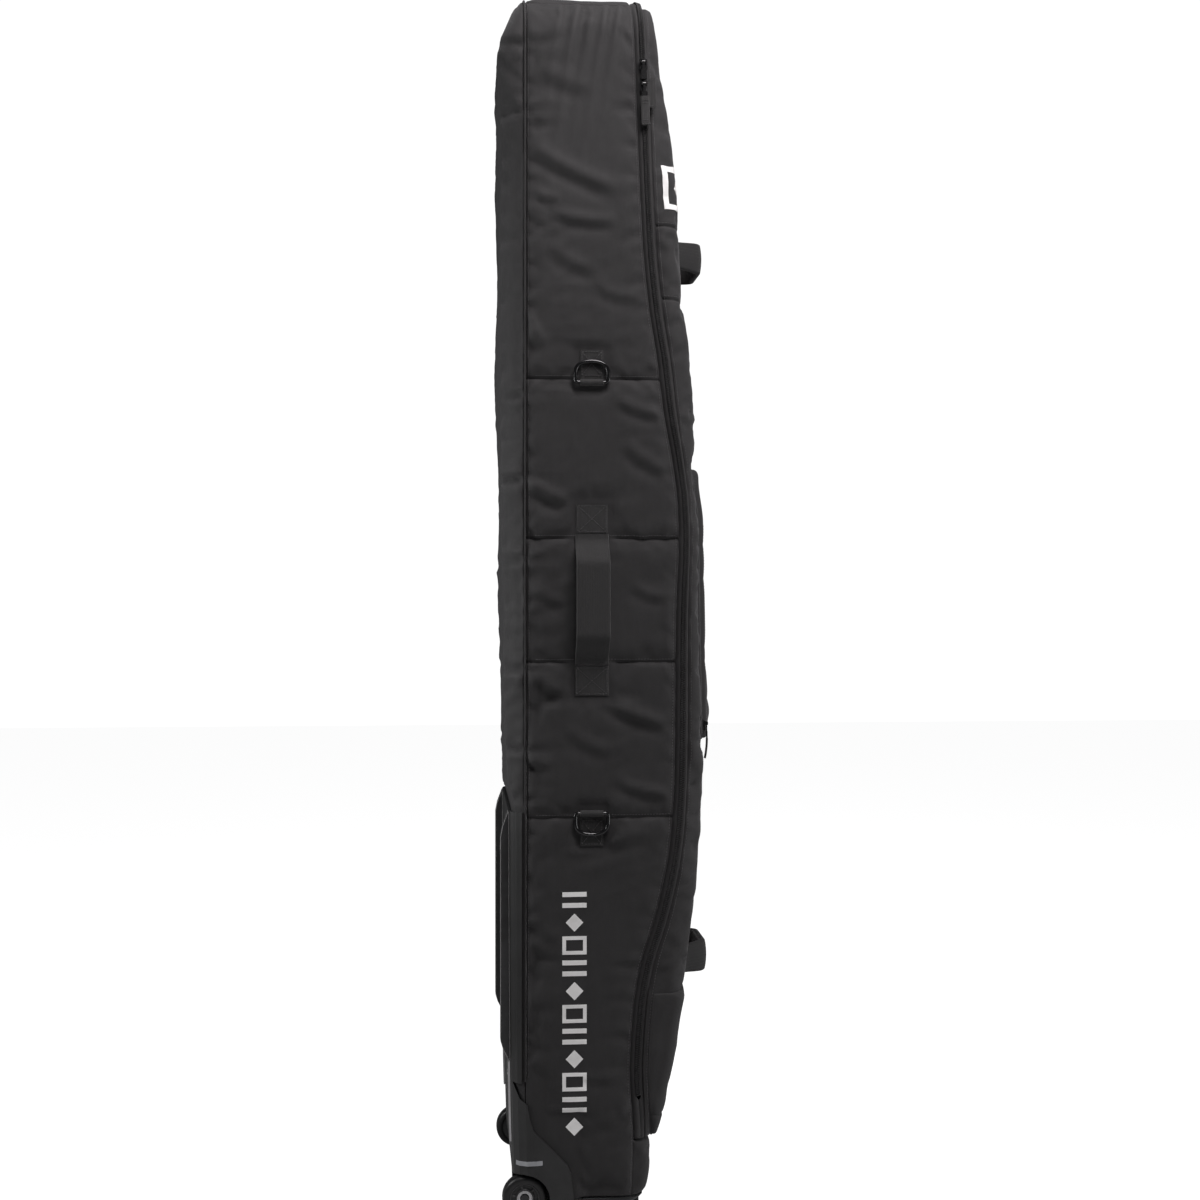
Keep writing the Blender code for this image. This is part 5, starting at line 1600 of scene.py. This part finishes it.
for label, sign in (("left", -1), ("right", 1)):
    outer_x = MID_X + sign * (WIDTH / 2 - 0.004)
    body = "wheel_" + label
    for part, profile, mat, where in (("tyre", TYRE_PROFILE, TYRE, "urethane"),
                                      ("hub", HUB_PROFILE, HUB, "moulded"),
                                      ("bearing", BEARING_PROFILE, STEEL, "steel")):
        lathe("wheel_" + part + "_" + label + "_turned",
              [(outer_x - sign * x, r) for x, r in profile], (0, SEAM, AXLE_Z), mat, body,
              replaces="wheel_" + part + "_" + label, angle=40, slot=where)
    verts, faces = [], []
    for k in range(6):
        a = 2 * math.pi * (k + 0.25) / 6
        out = np.array((0, math.cos(a), math.sin(a)))
        along = np.array((0, -math.sin(a), math.cos(a)))
        b = len(verts)
        for x, half in ((0.0044, 0.0016), (0.0016, 0.0013), (0.0013, 0.0009)):
            centre = np.array((outer_x - sign * x, SEAM, AXLE_Z))
            for r, s in ((0.0138, -1), (0.0188, -1), (0.0188, 1), (0.0138, 1)):
                verts.append(centre + out * r + along * s * half)
        faces += [(b, b + 1, b + 2, b + 3), (b + 8, b + 11, b + 10, b + 9)]
        faces += [tuple(b + v for v in f) for f in grid_faces(3, 4, wrap=True)]
    make("wheel_hub_" + label + "_ribs", verts, faces, HUB, body, smooth=False, slot="moulded")

# The cloth tab looped through the pocket's own pull.
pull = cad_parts["pocket_pull"]
corners = [pull.matrix_world @ Vector(c) for c in pull.bound_box]
pull_x = (min(c.x for c in corners) + max(c.x for c in corners)) / 2
pull_y = (min(c.y for c in corners) + max(c.y for c in corners)) / 2
pull_z = min(c.z for c in corners)
path = [(pull_x, pull_y - 0.0004 + 0.0030 * t * t, pull_z + 0.0030 - 0.0300 * t)
        for t in np.linspace(0, 1, 16)]
strap("pocket_pull_tab_webbing", path, (1, 0, 0), 0.0090, 0.0022, WEB_UP, "pocket_zip_pull")

# ---- Moulded and metal pieces carried over from the solids -------------------------------------
KEPT = {
    "wheel_tray": (TRAY, 0.0010), "back_board": (BOARD, 0.0005),
    "slider_upper": (BLACK_METAL, 0.0006), "slider_lower": (BLACK_METAL, 0.0006),
    "pull_upper": (BLACK_METAL, 0.0004), "pull_lower": (BLACK_METAL, 0.0004),
    "pocket_slider": (BLACK_METAL, 0.0006), "pocket_pull": (BLACK_METAL, 0.0004),
}
PAIRED = {
    "wheel_housing": (MOULDED, 0.0008), "skid_rail": (RAIL, 0.0022),
    "front_foot": (MOULDED, 0.0040), "guard_strip": (LIGHT_METAL, 0.0005),
    "rail_rivet": (STEEL, 0.0012), "guard_rivet": (STEEL, 0.0010),
    "axle_bolt": (RING_METAL, 0.0007),
}
KEPT.update({name + side: look for name, look in PAIRED.items() for side in ("_left", "_right")})
for node, (mat, width) in KEPT.items():
    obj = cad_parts[node]
    obj.data.materials.clear()
    obj.data.materials.append(mat)
    modifier(obj, "BEVEL", width=width, segments=3, limit_method="ANGLE",
             angle_limit=math.radians(38), harden_normals=False)

# ---- Linings -----------------------------------------------------------------------------------
DEEP = -(PAD + 0.0012)


def sheet_piece(name, grids, node, body, extra_faces=()):
    """A thin lining joined from grids whose shared borders meet."""
    bm = bmesh.new()
    for grid in grids:
        rows, cols, _ = grid.shape
        vs = [bm.verts.new(tuple(p)) for p in grid.reshape(-1, 3)]
        for f in grid_faces(rows, cols):
            bm.faces.new([vs[i] for i in f])
    for loop in extra_faces:
        bm.faces.new([bm.verts.new(tuple(p)) for p in loop])
    bmesh.ops.remove_doubles(bm, verts=bm.verts, dist=0.0006)
    bmesh.ops.recalc_face_normals(bm, faces=bm.faces)
    area = sum(f.calc_area() for f in bm.faces)
    mesh = mesh_of(bm, name)
    obj = add_object(name, mesh)
    mesh.materials.append(LINING_CLOTH)
    modifier(obj, "SOLIDIFY", thickness=0.0009, offset=0.0)
    apply_modifiers(obj)
    obj.data.shade_smooth()
    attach(obj, body)
    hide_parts(node)
    return obj, area


def soften(grid, seed):
    """A grid of points with a slight wave in it, but not along its borders."""
    nrm = normals_of(grid, CENTRE)
    wave = 0.0009 * noise_field(grid, 0.05, seed, 2)
    wave[[0, -1], :] = 0
    wave[:, [0, -1]] = 0
    return grid - nrm * np.abs(wave)[..., None]


tub_z = np.concatenate([np.linspace(0.0275, HINGE_Z - 0.005, 14), np.linspace(HINGE_Z, BEND_Z, 200),
                        BEND_Z + 0.0575 * np.sin(np.linspace(0.08, 1, 12) * math.pi / 2)])
tub = np.stack([wrap3(z, zip_y(z) + 0.0015, False, 130, DEEP) for z in tub_z])
flap = np.stack([wrap3(z, zip_y(z) + 0.0015, True, 70, DEEP) for z in tub_z[:14]])
tub_soft, flap_soft = soften(tub, 51), soften(flap, 53)
top_row = tub_soft[-1]
floor_ring = np.concatenate([tub_soft[0], flap_soft[0][::-1][1:-1]])
lining, area = sheet_piece("body_lining_cloth", [tub_soft, flap_soft], "body_lining", "bag_body",
                           extra_faces=[top_row, floor_ring])
clear_wheels(lining)
lid_z = [z for z in np.linspace(HINGE_Z + 0.0045, 1.70, 190)
         if front_y(z) - DEEP < zip_y(z) - ZIP_WIDTH - 0.0040]
inner_lid = np.stack([wrap3(z, zip_y(z) - ZIP_WIDTH - 0.0015, True, 100, DEEP) for z in lid_z])
lid_cloth, area = sheet_piece("lid_lining_cloth", [soften(inner_lid, 57)], "lid_lining", "lid")

# ---- Stitching along the panels' seams ---------------------------------------------------------
SEWN_IN = 0.0062        # from a border or a seam to the stitches beside it


def panel_lines(panel, seams):
    """Stitch lines inside a panel's two upright borders and beside its cross seams."""
    lines = []
    s = panel.f * panel.width
    for want in (SEWN_IN, panel.width - SEWN_IN):
        j = int(np.argmin(np.abs(s - want)))
        lines.append((panel.outer[2:-2, j], panel.nrm[2:-2, j]))
    i0, i1 = (int(np.argmin(np.abs(panel.f - a))) for a in (0.02, 0.98))
    for z in seams:
        i = int(np.argmin(np.abs(panel.up - z)))
        lines.append((panel.outer[i, i0:i1], panel.nrm[i, i0:i1]))
    return lines


def sew(name, lines, body, radius=0.00038, pitch=0.0043, skip=None):
    rods = []
    for path, nrm in lines:
        rods += [r for r in stitch_rods(path, nrm, pitch, pitch * 0.66)
                 if skip is None or not skip(r[0])]
    return capsules(name, rods, radius, THREAD, body, sides=4, lift=0.0001, slot="pack_cloth")


def under_housing(p):
    return p[2] < 0.205 and p[1] > 0.05


for label in ("left", "right"):
    panel = by_name["side_panel_" + label]
    lines = panel_lines(panel, [z + SEWN_IN for z, _ in SIDE_SEAMS])
    sew("side_stitching_" + label, lines, "bag_body", skip=under_housing)
sew("lid_stitching", panel_lines(by_name["lid_panel"], [z + 0.006 for z, _ in LID_SEAMS]), "lid")
i = int(np.argmin(np.abs(us * POCKET_WIDE - MARGIN - 0.0080)))
j = int(np.argmin(np.abs((1 - us) * POCKET_WIDE - 0.0040)))
pocket_rows = [int(np.argmin(np.abs(zs - z - 0.0050))) for z, _ in POCKET_SEAMS]
lines = [(outer[4:-4, j], np.tile((0, -1, 0), (len(outer) - 8, 1)))]
lines += [(outer[r, i:j], np.tile((0, -1, 0), (j - i, 1))) for r in pocket_rows]
top = int(len(zs) * 0.82)
lines.append((outer[4:top, i], np.tile((0, -1, 0), (top - 4, 1))))
sew("pocket_stitching", lines, "lid")

# ---- Printed band ------------------------------------------------------------------------------
def tree_of(obj):
    bpy.context.view_layer.update()
    verts = [obj.matrix_world @ v.co for v in obj.data.vertices]
    return BVHTree.FromPolygons(verts, [tuple(f.vertices) for f in obj.data.polygons])


def onto_left(tree):
    """Places (y, z) on the face that a tree of triangles turns to the left."""
    def place(y, z):
        hit = tree.ray_cast(Vector((LEFT - 0.05, y, z)), Vector((1, 0, 0)))[0]
        return np.array((hit.x if hit is not None else LEFT, y, z)), np.array((-1.0, 0.0, 0.0))
    return place


def rank(value, marks):
    """A value's fractional place in a rising row of marks, short of the last."""
    return np.clip(np.interp(value, marks, np.arange(len(marks))), 0, len(marks) - 1.001)


def onto_panel(panel):
    """Places (distance from the left border, z) on a panel's cloth."""
    def place(s, z):
        length = np.sum(np.linalg.norm(np.diff(panel.path(z), axis=0), axis=1))
        i, j = rank(z, panel.up), rank(s / length, panel.f)
        a, b, u, v = int(i), int(j), i - int(i), j - int(j)
        at, out = (((1 - u) * ((1 - v) * g[a, b] + v * g[a, b + 1])
                    + u * ((1 - v) * g[a + 1, b] + v * g[a + 1, b + 1]))
                   for g in (panel.outer, panel.nrm))
        return at, out / np.linalg.norm(out)
    return place


def decal(name, quads, place, mat, body, step=0.0025, slot="pack_cloth"):
    """Flat marks laid on a face; each is four corners in order, in the face's own measure."""
    verts, faces = [], []
    for corners in quads:
        a, b, c, d = (np.array(v) for v in corners)
        n = max(2, int(max(np.linalg.norm(b - a), np.linalg.norm(c - d)) / step) + 2)
        m = max(2, int(max(np.linalg.norm(d - a), np.linalg.norm(c - b)) / step) + 2)
        laid = np.array([[place(*((1 - s) * ((1 - t) * a + t * d) + s * ((1 - t) * b + t * c)))
                          for t in np.linspace(0, 1, m)] for s in np.linspace(0, 1, n)])
        at, out = laid[:, :, 0], laid[:, :, 1]
        one_verts, one_faces = shell_mesh(at + 0.00055 * out, at - 0.0005 * out)
        faces += [tuple(len(verts) + v for v in f) for f in one_faces]
        verts += list(one_verts)
    return make(name, verts, faces, mat, body, angle=30, slot=slot)


def block(u0, u1, z0, z1):
    return [(u0, z0), (u1, z0), (u1, z1), (u0, z1)]


def diamond(uc, zc, du, dz):
    return [(uc - du, zc), (uc, zc - dz), (uc + du, zc), (uc, zc + dz)]


def frame_marks(u0, u1, z0, z1, w):
    """An upright open frame with a diamond in the middle."""
    quads = [block(u0, u1, a, a + w) for a in (z0, z1 - w)]
    quads += [block(u, u + w, z0 + w, z1 - w) for u in (u0, u1 - w)]
    return quads + [diamond((u0 + u1) / 2, (z0 + z1) / 2,
                            (u1 - u0) / 2 - 2.2 * w, (z1 - z0) / 2 - 2.2 * w)]


def band_marks(y0, y1, z0, z1, pitch):
    """A plain border pattern: diamonds, pairs of bars and open squares, in turn."""
    quads = []
    yc, half = (y0 + y1) / 2, (y1 - y0) / 2
    count = int(round((z1 - z0) / pitch))
    pitch = (z1 - z0) / count
    for k in range(count):
        zc = z0 + (k + 0.5) * pitch
        r = pitch * 0.40
        kind = k % 3
        if kind == 0:
            quads.append(diamond(yc, zc, half * 0.72, r))
        elif kind == 1:
            for dz in (-0.24, 0.24):
                w = pitch * 0.105
                quads.append(block(yc - half, yc + half, zc + dz * pitch - w, zc + dz * pitch + w))
        else:
            w = half * 0.30
            for a0, a1, b0, b1 in ((-half, half, r - w, r), (-half, half, -r, -r + w),
                                   (-half, -half + w, -r + w, r - w),
                                   (half - w, half, -r + w, r - w)):
                quads.append(block(yc + a0, yc + a1, zc + b0, zc + b1))
    return quads


decal("side_band_print", band_marks(0.0362, 0.0709, 0.118, 0.474, 0.0325),
      onto_left(tree_of(by_name["side_panel_left"].obj)), PRINT, "bag_body")
decal("lid_mark_print", frame_marks(0.0150, 0.0720, 1.4440, 1.5080, 0.0085),
      onto_panel(by_name["lid_panel"]), PRINT, "lid", step=0.002)
decal("housing_bar_print",
      [[(0.0990, 0.0822), (0.1360, 0.0792), (0.1360, 0.0855), (0.0990, 0.0885)]],
      onto_left(tree_of(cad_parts["wheel_housing_left"])), GREY_PRINT, "bag_body",
      step=0.001, slot="moulded")

# ---- Room, light and camera --------------------------------------------------------------------
scene = bpy.context.scene
scene.view_settings.view_transform = "Standard"
world = bpy.data.worlds.new("studio")
scene.world = world
world.use_nodes = True
tree = world.node_tree
back = tree.nodes["Background"]
back.inputs["Color"].default_value = (0.94, 0.96, 1, 1)
back.inputs["Strength"].default_value = 0.045
bright = tree.nodes.new("ShaderNodeBackground")
bright.inputs["Color"].default_value = (1, 1, 1, 1)
bright.inputs["Strength"].default_value = 1.05
path = tree.nodes.new("ShaderNodeLightPath")
mixer = tree.nodes.new("ShaderNodeMixShader")
tree.links.new(path.outputs["Is Camera Ray"], mixer.inputs[0])
tree.links.new(back.outputs[0], mixer.inputs[1])
tree.links.new(bright.outputs[0], mixer.inputs[2])
tree.links.new(mixer.outputs[0], tree.nodes["World Output"].inputs["Surface"])


def area_light(name, place, target, size, power, tall=None, colour=(1, 1, 1)):
    data = bpy.data.lights.new(name, "AREA")
    data.shape, data.size, data.size_y, data.energy = "RECTANGLE", size, tall or size, power
    data.color = colour
    obj = add_object(name, data)
    obj.location = place
    obj.rotation_euler = (Vector(target) - Vector(place)).to_track_quat("-Z", "Y").to_euler()


area_light("key", (-1.10, -0.35, 2.65), (0.0, 0.0, 1.30), 0.9, 34, colour=(1.0, 0.955, 0.965))
area_light("front_fill", (-0.7, -2.3, 0.75), (0.0, 0.0, 0.60), 1.1, 17, 1.4)
area_light("back_fill", (-0.20, 1.20, 1.00), (-0.12, 0.15, 1.00), 0.5, 9, 0.7)
area_light("overhead", (0.1, 0.1, 3.4), (0.0, 0.0, 1.0), 1.8, 5)

bm = bmesh.new()
bmesh.ops.create_grid(bm, x_segments=2, y_segments=2, size=9.0)
mesh = mesh_of(bm, "studio_floor")
floor = add_object("studio_floor", mesh)
pale = bpy.data.materials.new("studio_floor_pale")
pale.use_nodes = True
tree = pale.node_tree
shader = tree.nodes["Principled BSDF"]
shader.inputs["Base Color"].default_value = (0.62, 0.62, 0.62, 1)
shader.inputs["Roughness"].default_value = 0.9
shader.inputs["Specular IOR Level"].default_value = 0.1
shader.inputs["Emission Color"].default_value = (1, 1, 1, 1)
# The floor shows as pale as the backdrop but throws little light back on to the bag.
seen = tree.nodes.new("ShaderNodeLightPath")
glow = tree.nodes.new("ShaderNodeMath")
glow.operation = "MULTIPLY"
glow.inputs[1].default_value = 0.94
tree.links.new(seen.outputs["Is Camera Ray"], glow.inputs[0])
tree.links.new(glow.outputs[0], shader.inputs["Emission Strength"])
mesh.materials.append(pale)
floor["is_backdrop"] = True

data = bpy.data.cameras.new("camera")
camera = add_object("camera", data)
scene.camera = camera
data.sensor_width, data.lens = 36.0, 48.2
data.clip_start, data.clip_end = 0.05, 60.0
camera.location = (-2.4397, 0.2244, 0.884)
turn = math.radians(5.2)
facing = Vector((math.cos(turn), -math.sin(turn), 0))
camera.rotation_euler = facing.to_track_quat("-Z", "Y").to_euler()

lo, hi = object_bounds()
